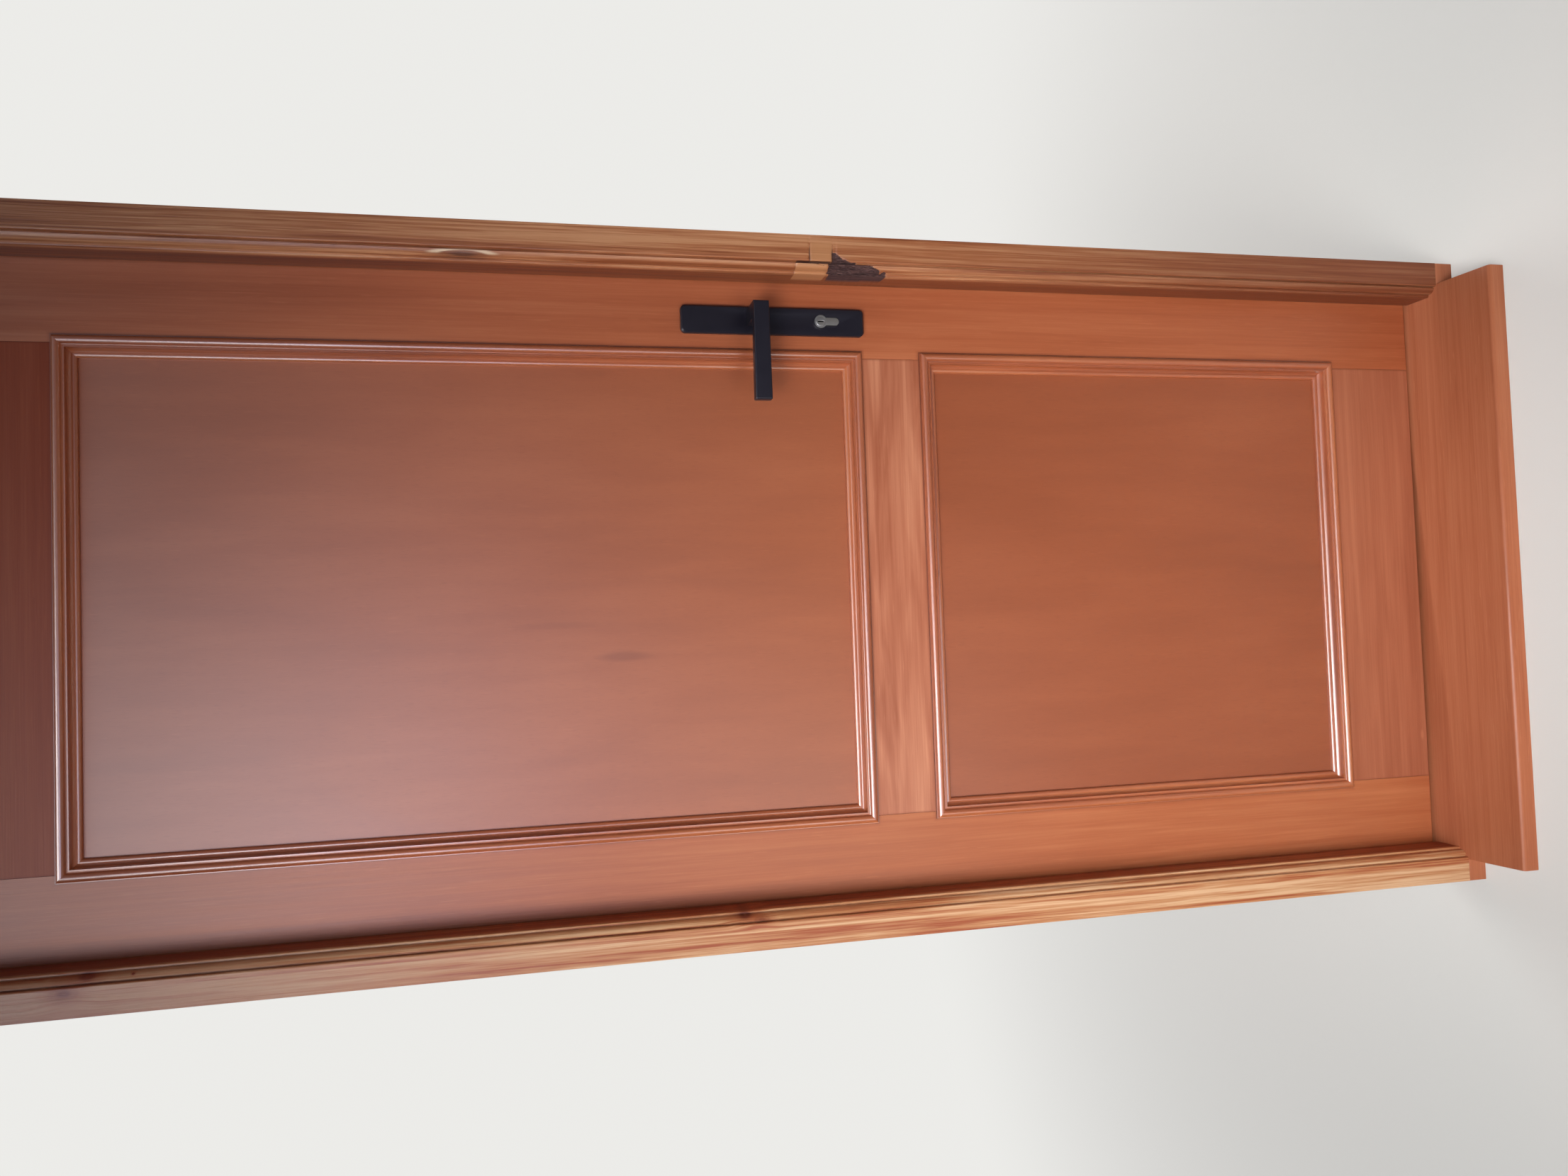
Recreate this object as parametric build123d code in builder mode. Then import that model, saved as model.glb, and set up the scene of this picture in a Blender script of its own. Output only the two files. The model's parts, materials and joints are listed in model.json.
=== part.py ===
"""Two-panel timber entrance door, hung in a moulded and rebated timber frame on a sill board.

X runs to the right seen from outside, Y runs inwards and Z runs up. The origin is under the middle
of the sill board, in the plane of the leaf's outer face. All sizes are in millimetres.
"""
import math
import os

from build123d import *

os.makedirs("parts", exist_ok=True)

# Doorway between the stops, floor to underside of the head
clear_width = 800.0
head_height = 2000.0

# Frame section: u runs outwards from the edge of the doorway, v runs along Y
frame_thickness = 46.0
stop_depth = 42.0
seal_gap = 3.0
rebate_width = 18.0
rebate_depth = 40.0
arris_radius = 2.0
fillet_width = 3.5
ovolo_width = 7.0
ovolo_rise = 11.0
ovolo_bulge = 2.5
quirk_width = 2.0
quirk_depth = 2.5
band_rise = 15.0
band_radius = 2.0

# Corner joints of the frame: loose tongues in the mitres, stub tenons in the sill board
tongue_length = 34.0
tongue_width = 24.0
tongue_thickness = 6.0
tongue_y = -25.0
tongue_setback = 23.0
tongue_play = 0.1
foot_tenon_inset = 10.0
foot_tenon_width = 14.0
foot_tenon_from = -40.0
foot_tenon_to = 25.0
foot_tenon_depth = 18.0

# Sill board
sill_thickness = 28.0
sill_projection = 149.0
sill_slope = 0.05
sill_nose_width = 832.0
sill_nose_radius = 5.0
sill_foot_radius = 1.5
sill_flat_margin = 2.0

# Leaf
leaf_thickness = 58.0
lip_thickness = 18.0
lip_overlap = 14.0
edge_gap = 4.0
leaf_sill_gap = 5.0
stile_face = 97.0
bottom_rail_face = 146.0
lower_panel_height = 623.0
mid_rail_face = 99.0
top_rail_face = 155.0
tenon_length = 75.0
tenon_thickness = 18.0
tenon_inset = 15.0
joint_chamfer = 0.5

# Panels and their mouldings
panel_recess = 12.0
panel_play = 1.5
moulding_lap = 9.0
moulding_reach = 15.5
moulding_edge = 2.5
bead_shoulder = 1.0
bead_width = 10.0
bead_height = 8.0
bead_back_rise = 1.0
cove_width = 2.0
cove_depth = 0.9
ledge_height = 3.2
ledge_width = 1.6
ledge_step = 1.0
hollow_depth = 1.5
inner_bead_width = 6.0
inner_bead_height = 5.4
inner_bead_foot = 2.4
inner_bead_bulge = 1.8

# Seals
seal_width = 8.0
seal_setback = 4.0
seal_tongue = 3.0
seal_tongue_depth = 5.0
seal_play = 0.3
sweep_thickness = 8.0
sweep_lip = 3.0
sweep_depth = 12.0
sweep_end_play = 1.0

# Hinges
barrel_radius = 7.5
barrel_length = 30.0
barrel_gap = 0.5
barrel_chamfer = 1.5
hinge_pin_radius = 4.0
pin_length = 52.0
pin_play = 0.05
washer_thickness = 1.5
washer_setback = 0.5
hinge_axis_from_face = 6.0
stud_radius = 4.0
stud_bite = 30.0
stud_steps = (9.0, 23.0)
hinge_end_distance = 200.0

# Lock
backset = 65.0
lever_height = 1033.0
lever_to_cylinder = 89.5
lock_plane = 20.0
case_depth = 88.0
case_below_cylinder = 40.5
case_above_lever = 40.0
case_thickness = 16.0
case_wall = 1.4
faceplate_thickness = 3.0
faceplate_width = 20.0
faceplate_length = 235.0
mortise_play = 0.3
latch_throw = 12.0
latch_length = 36.0
latch_thickness = 13.0
latch_height = 32.0
latch_flat = 2.5
latch_bevel_start = 1.0
latch_tail_height = 6.0
latch_tail_thickness = 2.4
latch_tail_setback = 0.2
latch_tail_lap = 10.0
latch_tail_cover = 0.5
latch_lug = 5.0
bolt_throw = 20.0
bolt_length = 38.0
bolt_thickness = 11.0
bolt_height = 34.0
bolt_above_cylinder = 21.5
bolt_tail_length = 48.0
bolt_tail_height = 14.0
bolt_tail_thickness = 6.0
bolt_play = 0.3
bolt_chamfer = 1.0
bolt_tail_over_cam = 3.0
hub_play = 0.4
follower_radius = 11.0
follower_boss_radius = 9.0
follower_boss_play = 0.08
follower_arm = 19.95
follower_arm_radius = 2.5
follower_arm_thickness = 6.0
lever_travel = 35.0
arm_play = 0.6

# Profile cylinder
cylinder_radius = 8.5
cylinder_leg_width = 10.0
cylinder_height = 33.0
cylinder_stand = 2.5
cylinder_play = 0.4
cylinder_screw_bite = 4.0
plug_radius = 6.4
plug_play = 0.05
keyway_width = 1.6
keyway_height = 8.0
keyway_depth = 12.0
cam_width = 10.0
cam_radius = 8.2
cam_tooth_reach = 14.0
cam_tooth_width = 6.0
cam_play = 0.3
cam_end_play = 1.3

# Handle set
plate_width = 36.0
plate_length = 244.5
plate_drop = 149.0
plate_thickness = 8.0
plate_corner = 6.0
plate_edge = 2.0
plate_skin = 2.5
post_width = 10.0
bush_wall = 3.0
cylinder_boss = 3.0
plate_screw_inset = 15.0
neck_radius = 9.0
neck_play = 0.05
neck_foot_gap = 0.6
neck_width = 21.0
neck_gap = 1.0
lever_reach = 46.0
lever_bar_thickness = 12.0
lever_root = 12.0
lever_length = 126.0
lever_root_height = 20.0
lever_tip_height = 22.0
lever_edge = 2.0
spindle_side = 8.0
spindle_play = 0.05
spindle_bite = 36.0
spindle_chamfer = 0.5
spindle_hole_play = 2.0

# Screws
wood_screw_radius = 2.0
wood_screw_head = 4.0
wood_screw_length = 28.0
plate_screw_radius = 2.4
plate_screw_head = 4.4
plate_screw_end_play = 0.5
cylinder_screw_radius = 2.4
grub_radius = 2.4
grub_stand = 20.0
grub_head_depth = 0.5
screw_play = 0.1
fixing_radius = 5.0
fixing_end_spacing = 1380.0
fixing_mid_spacing = 460.0
fixing_centre_height = 1020.0

# Strike plate on the lock jamb
strike_thickness = 3.0
strike_width = 24.0
strike_corner = 4.0
strike_margin = 13.0
strike_play = 1.5
strike_screw_cover = 4.0
pocket_end_play = 4.0
inlay_play = 0.1

# How far a cutter runs past the face it opens
past = 1.0

# Places that follow from the sizes above
half_clear = clear_width / 2
stop_face = -seal_gap
arris_face = stop_face - stop_depth
band_face = arris_face - band_rise
frame_inner_face = stop_face + rebate_depth
frame_outer = half_clear + frame_thickness
frame_top = head_height + frame_thickness
sill_weathering_start = band_face - sill_flat_margin
rebate_wall = half_clear + rebate_width
leaf_edge = rebate_wall - edge_gap
leaf_top = head_height + rebate_width - edge_gap
leaf_bottom = sill_thickness + leaf_sill_gap
lip_edge = leaf_edge + lip_overlap
lip_top = leaf_top + lip_overlap
lip_face = leaf_thickness - lip_thickness
stile_inner = half_clear - stile_face
lower_open_bottom = sill_thickness + bottom_rail_face
lower_open_top = lower_open_bottom + lower_panel_height
upper_open_bottom = lower_open_top + mid_rail_face
upper_open_top = head_height - top_rail_face
panel_outer = panel_recess
panel_inner = leaf_thickness - panel_recess
tenon_face = (leaf_thickness - tenon_thickness) / 2

hinge_x = -(lip_edge + barrel_gap + barrel_radius)
hinge_y = leaf_thickness - hinge_axis_from_face
hinge_low = sill_thickness + hinge_end_distance
hinge_high = head_height - hinge_end_distance
hinge_heights = (hinge_low, (hinge_low + hinge_high) / 2, hinge_high)
hinge_names = ("bottom", "middle", "top")

lock_x = leaf_edge - backset
cylinder_height_z = lever_height - lever_to_cylinder
case_front = leaf_edge - faceplate_thickness
case_back = case_front - case_depth
case_low = cylinder_height_z - case_below_cylinder
case_high = lever_height + case_above_lever
case_outer_face = lock_plane - case_thickness / 2
case_inner_face = lock_plane + case_thickness / 2
faceplate_middle = (case_low + case_high) / 2
bolt_middle = cylinder_height_z + bolt_above_cylinder
plate_low = lever_height - plate_drop
plate_middle = plate_low + plate_length / 2
plate_screw_heights = (plate_low + plate_screw_inset, plate_low + plate_length - plate_screw_inset)
cylinder_bottom = cylinder_height_z + cylinder_radius - cylinder_height
cam_web_top = cylinder_height_z - cam_tooth_reach - cam_end_play
cylinder_screw_height = (cylinder_bottom + cam_web_top) / 2
cylinder_outer_end = -plate_thickness - cylinder_stand
cylinder_inner_end = leaf_thickness + plate_thickness + cylinder_stand
strike_low = bolt_middle - bolt_height / 2 - strike_margin - strike_play
strike_high = lever_height + latch_height / 2 + strike_margin + strike_play
strike_middle = (strike_low + strike_high) / 2
strike_length = strike_high - strike_low
strike_screw_heights = (
    strike_low + strike_margin / 2,
    (bolt_middle + bolt_height / 2 + lever_height - latch_height / 2) / 2,
    strike_high - strike_margin / 2,
)

mitre_reach = 2 * (frame_inner_face - band_face)
fixing_y = (stop_face + frame_inner_face) / 2


def keep(piece, name):
    """Label a finished piece and write its STEP file."""
    piece.part.label = name
    export_step(piece.part, f"parts/{name}.step")


def block(x, y, z):
    """A box between two corners, each range given as a pair, kept out of the open builder."""
    size = [high - low for low, high in (x, y, z)]
    middle = [(low + high) / 2 for low, high in (x, y, z)]
    return Pos(*middle) * Box(*size, mode=Mode.PRIVATE)


def rod(start, direction, radius, length):
    """A round bar from a point along a direction, kept out of the open builder."""
    plane = Plane(origin=start, z_dir=direction)
    base = (Align.CENTER, Align.CENTER, Align.MIN)
    return plane * Cylinder(radius, length, align=base, mode=Mode.PRIVATE)


def screw(start, direction, radius, head_radius, length):
    """A countersunk screw whose flat head lies at the start point."""
    plane = Plane(origin=start, z_dir=direction)
    head_depth = head_radius - radius
    with BuildPart(plane, mode=Mode.PRIVATE) as piece:
        Cone(head_radius, radius, head_depth, align=(Align.CENTER, Align.CENTER, Align.MIN))
        Cylinder(radius, length, align=(Align.CENTER, Align.CENTER, Align.MIN))
    return piece.part


def cylinder_outline(grow):
    """Round head and narrow leg of the profile cylinder, seen along Y, grown by a clearance."""
    leg_radius = cylinder_leg_width / 2
    leg_drop = cylinder_height - cylinder_radius - leg_radius
    with BuildSketch(Plane.XZ) as outline:
        with Locations((lock_x, cylinder_height_z)):
            Circle(cylinder_radius + grow)
        with Locations((lock_x, cylinder_height_z - leg_drop)):
            Circle(leg_radius + grow)
        with Locations((lock_x, cylinder_height_z - leg_drop / 2)):
            Rectangle(cylinder_leg_width + 2 * grow, leg_drop)
    return outline.sketch


def cylinder_hole(grow, y_from, y_to):
    """The cylinder's outline as a solid between two Y planes, kept out of the open builder."""
    with BuildPart(mode=Mode.PRIVATE) as hole:
        extrude(cylinder_outline(grow).moved(Location((0, y_from, 0))), amount=-(y_to - y_from))
    return hole.part


# Frame: jambs and head of one section, mitred at the corners

def frame_section(plane):
    """The moulded and rebated section of a frame member, drawn on the given plane."""
    groove_from = seal_setback + (seal_width - seal_tongue) / 2
    groove_to = groove_from + seal_tongue
    groove_bottom = stop_face - seal_tongue_depth
    ovolo_from = (fillet_width, arris_face)
    ovolo_to = (fillet_width + ovolo_width, arris_face - ovolo_rise)
    quirk_face = ovolo_to[1] + quirk_depth
    band_from = ovolo_to[0] + quirk_width
    with BuildSketch(plane) as section:
        with BuildLine():
            Polyline((groove_from, stop_face), (0, stop_face), (0, arris_face + arris_radius))
            RadiusArc(
                (0, arris_face + arris_radius), (arris_radius, arris_face), -arris_radius
            )
            Line((arris_radius, arris_face), ovolo_from)
            SagittaArc(ovolo_from, ovolo_to, -ovolo_bulge)
            Polyline(
                ovolo_to, (ovolo_to[0], quirk_face), (band_from, quirk_face),
                (band_from, band_face + band_radius),
            )
            RadiusArc(
                (band_from, band_face + band_radius), (band_from + band_radius, band_face),
                -band_radius,
            )
            Polyline(
                (band_from + band_radius, band_face), (frame_thickness, band_face),
                (frame_thickness, frame_inner_face), (rebate_width, frame_inner_face),
                (rebate_width, stop_face), (groove_to, stop_face), (groove_to, groove_bottom),
                (groove_from, groove_bottom), (groove_from, stop_face),
            )
        make_face()
    return section.sketch


def mitred_blank(side):
    """An upright as an outline in the XZ plane, square on the sill and mitred at the head."""
    with BuildSketch(Plane.XZ) as blank:
        with BuildLine():
            Polyline(
                (side * half_clear, sill_thickness), (side * frame_outer, sill_thickness),
                (side * frame_outer, frame_top), (side * half_clear, head_height),
                close=True,
            )
        make_face()
    return blank.sketch


def fixing_holes(side):
    """Four wall fixing holes across an upright, behind the leaf's edge."""
    heights = [
        fixing_centre_height + sign * spacing / 2
        for spacing in (fixing_end_spacing, fixing_mid_spacing) for sign in (-1, 1)
    ]
    return [
        rod((side * (rebate_wall - past), fixing_y, z), (side, 0, 0), fixing_radius,
            frame_thickness - rebate_width + 2 * past)
        for z in heights
    ]


def corner_tongue(side, grow):
    """A loose tongue let into the mitre between an upright and the head."""
    middle = Vector(side * (half_clear + tongue_setback), 0, head_height + tongue_setback)
    across = Plane(origin=middle, x_dir=(side, 0, 1), z_dir=(0, 1, 0))
    base = (Align.CENTER, Align.CENTER, Align.MIN)
    blank = Box(tongue_length + 2 * grow, tongue_width + 2 * grow, tongue_thickness + 2 * grow,
                align=base, mode=Mode.PRIVATE)
    return across.offset(tongue_y - tongue_thickness / 2 - grow) * blank


def foot_tenon(side, grow):
    """The stub tenon under an upright, or its mortise in the sill board."""
    ends = sorted((side * (frame_outer - foot_tenon_inset + grow),
                   side * (frame_outer - foot_tenon_inset - foot_tenon_width - grow)))
    return block(ends, (foot_tenon_from - grow, foot_tenon_to + grow),
                 (sill_thickness - foot_tenon_depth - grow, sill_thickness))


def upright(side):
    """One jamb blank with its section, mitre, fixing holes, tongue slot and foot tenon."""
    base = Plane(origin=(side * half_clear, 0, 0), x_dir=(side, 0, 0), z_dir=(0, 0, side))
    with BuildPart() as jamb:
        extrude(frame_section(base), amount=side * frame_top)
        extrude(mitred_blank(side), amount=mitre_reach, both=True, mode=Mode.INTERSECT)
        for hole in fixing_holes(side):
            add(hole, mode=Mode.SUBTRACT)
        add(corner_tongue(side, tongue_play), mode=Mode.SUBTRACT)
        add(foot_tenon(side, 0))
    return jamb


def hinge_studs(grow, z, towards_leaf):
    """The two drill-in studs of one hinge half."""
    sign = 1 if towards_leaf else -1
    if towards_leaf:
        direction, reach = (1, 0, 0), -lip_edge - hinge_x + stud_bite
    else:
        direction, reach = (0, -1, 0), hinge_y - frame_inner_face + stud_bite
    return [
        rod((hinge_x, hinge_y, z + sign * step), direction, stud_radius + grow, reach + grow)
        for step in stud_steps
    ]


hinge_jamb_blank = upright(-1)
with BuildPart() as hinge_jamb:
    add(hinge_jamb_blank.part)
    for z in hinge_heights:
        for hole in hinge_studs(screw_play, z, False):
            add(hole, mode=Mode.SUBTRACT)
keep(hinge_jamb, "hinge_jamb")


def strike_outline(grow):
    """Outline of the strike plate on the rebate wall, seen along X."""
    with BuildSketch(Plane.YZ.offset(rebate_wall)) as outline:
        with Locations((lock_plane, strike_middle)):
            RectangleRounded(strike_width + 2 * grow, strike_length + 2 * grow, strike_corner)
    return outline.sketch


def strike_screws(grow):
    """Countersunk wood screws through the strike plate."""
    return [
        screw((rebate_wall, lock_plane, z), (1, 0, 0), wood_screw_radius + grow,
              wood_screw_head + grow,
              frame_thickness - rebate_width - strike_screw_cover + grow)
        for z in strike_screw_heights
    ]


def keep_pocket(thickness, height, middle, reach):
    """Room in the lock jamb for a thrown bolt."""
    y_half = thickness / 2 + strike_play
    z_half = height / 2 + strike_play
    return block(
        (rebate_wall - past, leaf_edge + reach), (lock_plane - y_half, lock_plane + y_half),
        (middle - z_half, middle + z_half),
    )


bolt_pocket = keep_pocket(
    bolt_thickness, bolt_height, bolt_middle, bolt_throw + pocket_end_play
)
latch_pocket = keep_pocket(
    latch_thickness, latch_height, lever_height, latch_throw + pocket_end_play
)

lock_jamb_blank = upright(1)
with BuildPart() as lock_jamb:
    add(lock_jamb_blank.part)
    extrude(strike_outline(inlay_play), amount=strike_thickness, mode=Mode.SUBTRACT)
    for hole in strike_screws(screw_play):
        add(hole, mode=Mode.SUBTRACT)
    add(bolt_pocket, mode=Mode.SUBTRACT)
    add(latch_pocket, mode=Mode.SUBTRACT)
keep(lock_jamb, "lock_jamb")

with BuildPart() as head_jamb:
    head_plane = Plane(origin=(0, 0, head_height), x_dir=(0, 0, 1), z_dir=(-1, 0, 0))
    extrude(frame_section(head_plane), amount=frame_outer, both=True)
    with BuildSketch(Plane.XZ):
        with BuildLine():
            Polyline(
                (-half_clear, head_height), (half_clear, head_height), (frame_outer, frame_top),
                (-frame_outer, frame_top), close=True,
            )
        make_face()
    extrude(amount=mitre_reach, both=True, mode=Mode.INTERSECT)
    for side in (-1, 1):
        add(corner_tongue(side, tongue_play), mode=Mode.SUBTRACT)
keep(head_jamb, "head_jamb")

with BuildPart() as sill_board:
    sill_front = -sill_projection
    front_top = sill_thickness - sill_slope * (sill_weathering_start - sill_front)
    with BuildSketch(Plane.YZ):
        with BuildLine():
            Polyline(
                (sill_front, 0), (frame_inner_face, 0), (frame_inner_face, sill_thickness),
                (sill_weathering_start, sill_thickness), (sill_front, front_top), close=True,
            )
        make_face()
    extrude(amount=frame_outer, both=True)
    front_edges = sill_board.edges().filter_by(Axis.X).group_by(Axis.Y)[0].sort_by(Axis.Z)
    fillet(front_edges[-1], radius=sill_nose_radius)
    front_edges = sill_board.edges().filter_by(Axis.X).group_by(Axis.Y)[0].sort_by(Axis.Z)
    fillet(front_edges[0], radius=sill_foot_radius)
    for side in (-1, 1):
        ends = sorted((side * sill_nose_width / 2, side * (frame_outer + past)))
        corner = block(ends, (sill_front - past, band_face), (-past, sill_thickness + past))
        add(corner, mode=Mode.SUBTRACT)
        add(foot_tenon(side, tongue_play), mode=Mode.SUBTRACT)
keep(sill_board, "sill_board")

with BuildPart() as corner_tongues:
    for side in (-1, 1):
        add(corner_tongue(side, 0))
keep(corner_tongues, "corner_tongues")


def seal_run(setback, width):
    """Outline of a strip that follows both stops and the head, seen along Y."""
    outer_x = half_clear + setback + width
    inner_x = half_clear + setback
    outer_z = head_height + setback + width
    inner_z = head_height + setback
    with BuildSketch(Plane.XZ) as run:
        with BuildLine():
            Polyline(
                (-outer_x, sill_thickness), (-outer_x, outer_z), (outer_x, outer_z),
                (outer_x, sill_thickness), (inner_x, sill_thickness), (inner_x, inner_z),
                (-inner_x, inner_z), (-inner_x, sill_thickness), close=True,
            )
        make_face()
    return run.sketch


with BuildPart() as frame_seal:
    pad = seal_run(seal_setback, seal_width).moved(Location((0, stop_face, 0)))
    extrude(pad, amount=-(seal_gap - seal_play))
    fillet(
        frame_seal.faces().sort_by(Axis.Y)[-1].edges(),
        radius=(seal_gap - seal_play) / 2,
    )
    seal_tongue_setback = seal_setback + (seal_width - seal_tongue) / 2
    tongue_run = seal_run(seal_tongue_setback + seal_play / 2, seal_tongue - seal_play)
    extrude(tongue_run.moved(Location((0, stop_face, 0))), amount=seal_tongue_depth - seal_play)
keep(frame_seal, "frame_seal")


# Leaf: stiles and rails joined by through-shouldered tenons

def lipped_section(side):
    """Stile section with the lip that laps the frame inside, in the XY plane."""
    with BuildSketch(Plane.XY.offset(leaf_bottom)) as section:
        with BuildLine():
            Polyline(
                (side * stile_inner, 0), (side * leaf_edge, 0), (side * leaf_edge, lip_face),
                (side * lip_edge, lip_face), (side * lip_edge, leaf_thickness),
                (side * stile_inner, leaf_thickness), close=True,
            )
        make_face()
    return section.sketch


def tenon(side, z_low, z_high):
    """One rail tenon, reaching into a stile."""
    ends = sorted((side * stile_inner, side * (stile_inner + tenon_length)))
    return block(ends, (tenon_face, tenon_face + tenon_thickness), (z_low, z_high))


rail_tenons = (
    (leaf_bottom + 2 * tenon_inset, lower_open_bottom - tenon_inset),
    (lower_open_top + tenon_inset, upper_open_bottom - tenon_inset),
    (upper_open_top + tenon_inset, leaf_top - 2 * tenon_inset),
)
sweep_groove = block(
    (-leaf_edge - past, leaf_edge + past),
    (lock_plane - sweep_thickness / 2, lock_plane + sweep_thickness / 2),
    (leaf_bottom - past, leaf_bottom + sweep_depth),
)


def stile(side):
    """One stile with its mortises and the seal's groove."""
    with BuildPart() as piece:
        extrude(lipped_section(side), amount=lip_top - leaf_bottom)
        core_ends = sorted((side * stile_inner, side * (lip_edge + past)))
        add(block(core_ends, (-past, lip_face), (leaf_top, lip_top + past)), mode=Mode.SUBTRACT)
        for z_low, z_high in rail_tenons:
            add(tenon(side, z_low, z_high), mode=Mode.SUBTRACT)
        add(sweep_groove, mode=Mode.SUBTRACT)
    return piece


def rail(z_low, z_high, tenon_span):
    """A rail between the stiles, with both tenons."""
    with BuildPart() as piece:
        add(block((-stile_inner, stile_inner), (0, leaf_thickness), (z_low, z_high)))
        shoulders = piece.faces().sort_by(Axis.Y)[0].edges().filter_by(Axis.Z)
        chamfer(shoulders, length=joint_chamfer)
        for side in (-1, 1):
            add(tenon(side, *tenon_span))
    return piece


hinge_stile_blank = stile(-1)
with BuildPart() as hinge_stile:
    add(hinge_stile_blank.part)
    for z in hinge_heights:
        for hole in hinge_studs(screw_play, z, True):
            add(hole, mode=Mode.SUBTRACT)
keep(hinge_stile, "hinge_stile")


def faceplate_outline(grow):
    """Round-ended outline of the lock's faceplate, seen along X."""
    with BuildSketch(Plane.YZ.offset(case_front)) as outline:
        with Locations((lock_plane, faceplate_middle)):
            SlotOverall(faceplate_length + 2 * grow, faceplate_width + 2 * grow, rotation=90)
    return outline.sketch


def faceplate_screw_list(grow):
    """Wood screws at both ends of the faceplate."""
    reach = faceplate_length / 2 - faceplate_width / 2
    return [
        screw((leaf_edge, lock_plane, faceplate_middle + sign * reach), (-1, 0, 0),
              wood_screw_radius + grow, wood_screw_head + grow, wood_screw_length + grow)
        for sign in (-1, 1)
    ]


def plate_screw_list(grow):
    """Screws from the inner plate through the stile into the outer plate's posts."""
    start = leaf_thickness + plate_thickness
    length = leaf_thickness + 2 * plate_thickness - plate_skin - plate_screw_end_play
    return [
        screw((lock_x, start, z), (0, -1, 0), plate_screw_radius + grow,
              plate_screw_head + grow, length + grow)
        for z in plate_screw_heights
    ]


def cylinder_screw_shape(grow):
    """The long screw from the faceplate into the cylinder's web."""
    return screw((leaf_edge, lock_plane, cylinder_screw_height), (-1, 0, 0),
                 cylinder_screw_radius + grow, wood_screw_head + grow,
                 backset + cylinder_screw_bite + grow)


def lock_room():
    """The room in the leaf for the lock, the cylinder, the spindle and their screws."""
    with BuildPart(mode=Mode.PRIVATE) as recess:
        extrude(faceplate_outline(inlay_play), amount=faceplate_thickness)
    mortise = block(
        (case_back - mortise_play, leaf_edge),
        (case_outer_face - mortise_play, case_inner_face + mortise_play),
        (case_low - mortise_play, case_high + mortise_play),
    )
    spindle_hole = rod((lock_x, -past, lever_height), (0, 1, 0),
                       follower_boss_radius + spindle_hole_play, leaf_thickness + 2 * past)
    through_hole = cylinder_hole(cylinder_play, -past, leaf_thickness + past)
    screw_holes = faceplate_screw_list(screw_play) + plate_screw_list(screw_play)
    return [mortise, recess.part, spindle_hole, through_hole] + screw_holes


lock_stile_blank = stile(1)
with BuildPart() as lock_stile:
    add(lock_stile_blank.part)
    for cutter in lock_room():
        add(cutter, mode=Mode.SUBTRACT)
keep(lock_stile, "lock_stile")

bottom_rail_blank = rail(leaf_bottom, lower_open_bottom, rail_tenons[0])
with BuildPart() as bottom_rail:
    add(bottom_rail_blank.part)
    add(sweep_groove, mode=Mode.SUBTRACT)
keep(bottom_rail, "bottom_rail")

mid_rail_blank = rail(lower_open_top, upper_open_bottom, rail_tenons[1])
with BuildPart() as mid_rail:
    add(mid_rail_blank.part)
    for cutter in lock_room():
        add(cutter, mode=Mode.SUBTRACT)
keep(mid_rail, "mid_rail")

top_rail_blank = rail(upper_open_top, leaf_top, rail_tenons[2])
with BuildPart() as top_rail:
    add(top_rail_blank.part)
    add(block((-stile_inner, stile_inner), (lip_face, leaf_thickness), (leaf_top, lip_top)))
keep(top_rail, "top_rail")

panel_half = stile_inner - panel_play
for name, z_low, z_high in (
    ("lower_panel", lower_open_bottom, lower_open_top),
    ("upper_panel", upper_open_bottom, upper_open_top),
):
    with BuildPart() as panel:
        add(block((-panel_half, panel_half), (panel_outer, panel_inner),
                  (z_low + panel_play, z_high - panel_play)))
    keep(panel, name)

with BuildPart() as bottom_seal:
    half_sweep = sweep_thickness / 2 - seal_play / 2
    sweep_end = leaf_edge - sweep_end_play
    add(block((-sweep_end, sweep_end),
              (lock_plane - half_sweep, lock_plane + half_sweep),
              (leaf_bottom, leaf_bottom + sweep_depth - seal_play)))
    add(block((-sweep_end, sweep_end),
              (lock_plane - sweep_lip / 2, lock_plane + sweep_lip / 2),
              (sill_thickness + seal_play, leaf_bottom)))
keep(bottom_seal, "bottom_seal")


# Mouldings: a bolection strip that laps the stile and rail edges and holds the panel

def moulding_section(plane):
    """Section across a strip: x runs into the panel opening, y stands out from the leaf."""
    bead_left = (-moulding_lap + bead_shoulder, moulding_edge)
    bead_top = (bead_left[0] + bead_width / 2, bead_height)
    bead_right = (bead_left[0] + bead_width, moulding_edge + bead_back_rise)
    ledge_left = (bead_right[0] + cove_width, ledge_height)
    ledge_right = (ledge_left[0] + ledge_width, ledge_height)
    hollow_top = (ledge_right[0], ledge_height - ledge_step)
    inner_bead_left = (moulding_reach - inner_bead_width, inner_bead_height - panel_recess)
    inner_bead_right = (moulding_reach, inner_bead_foot - panel_recess)
    with BuildSketch(plane) as section:
        with BuildLine():
            Polyline(
                (0, -panel_recess), (0, 0), (-moulding_lap, 0), (-moulding_lap, moulding_edge),
                bead_left,
            )
            ThreePointArc(bead_left, bead_top, bead_right)
            SagittaArc(bead_right, ledge_left, -cove_depth)
            Polyline(ledge_left, ledge_right, hollow_top)
            SagittaArc(hollow_top, inner_bead_left, -hollow_depth)
            SagittaArc(inner_bead_left, inner_bead_right, inner_bead_bulge)
            Polyline(inner_bead_right, (moulding_reach, -panel_recess), (0, -panel_recess))
        make_face()
    return section.sketch


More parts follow.
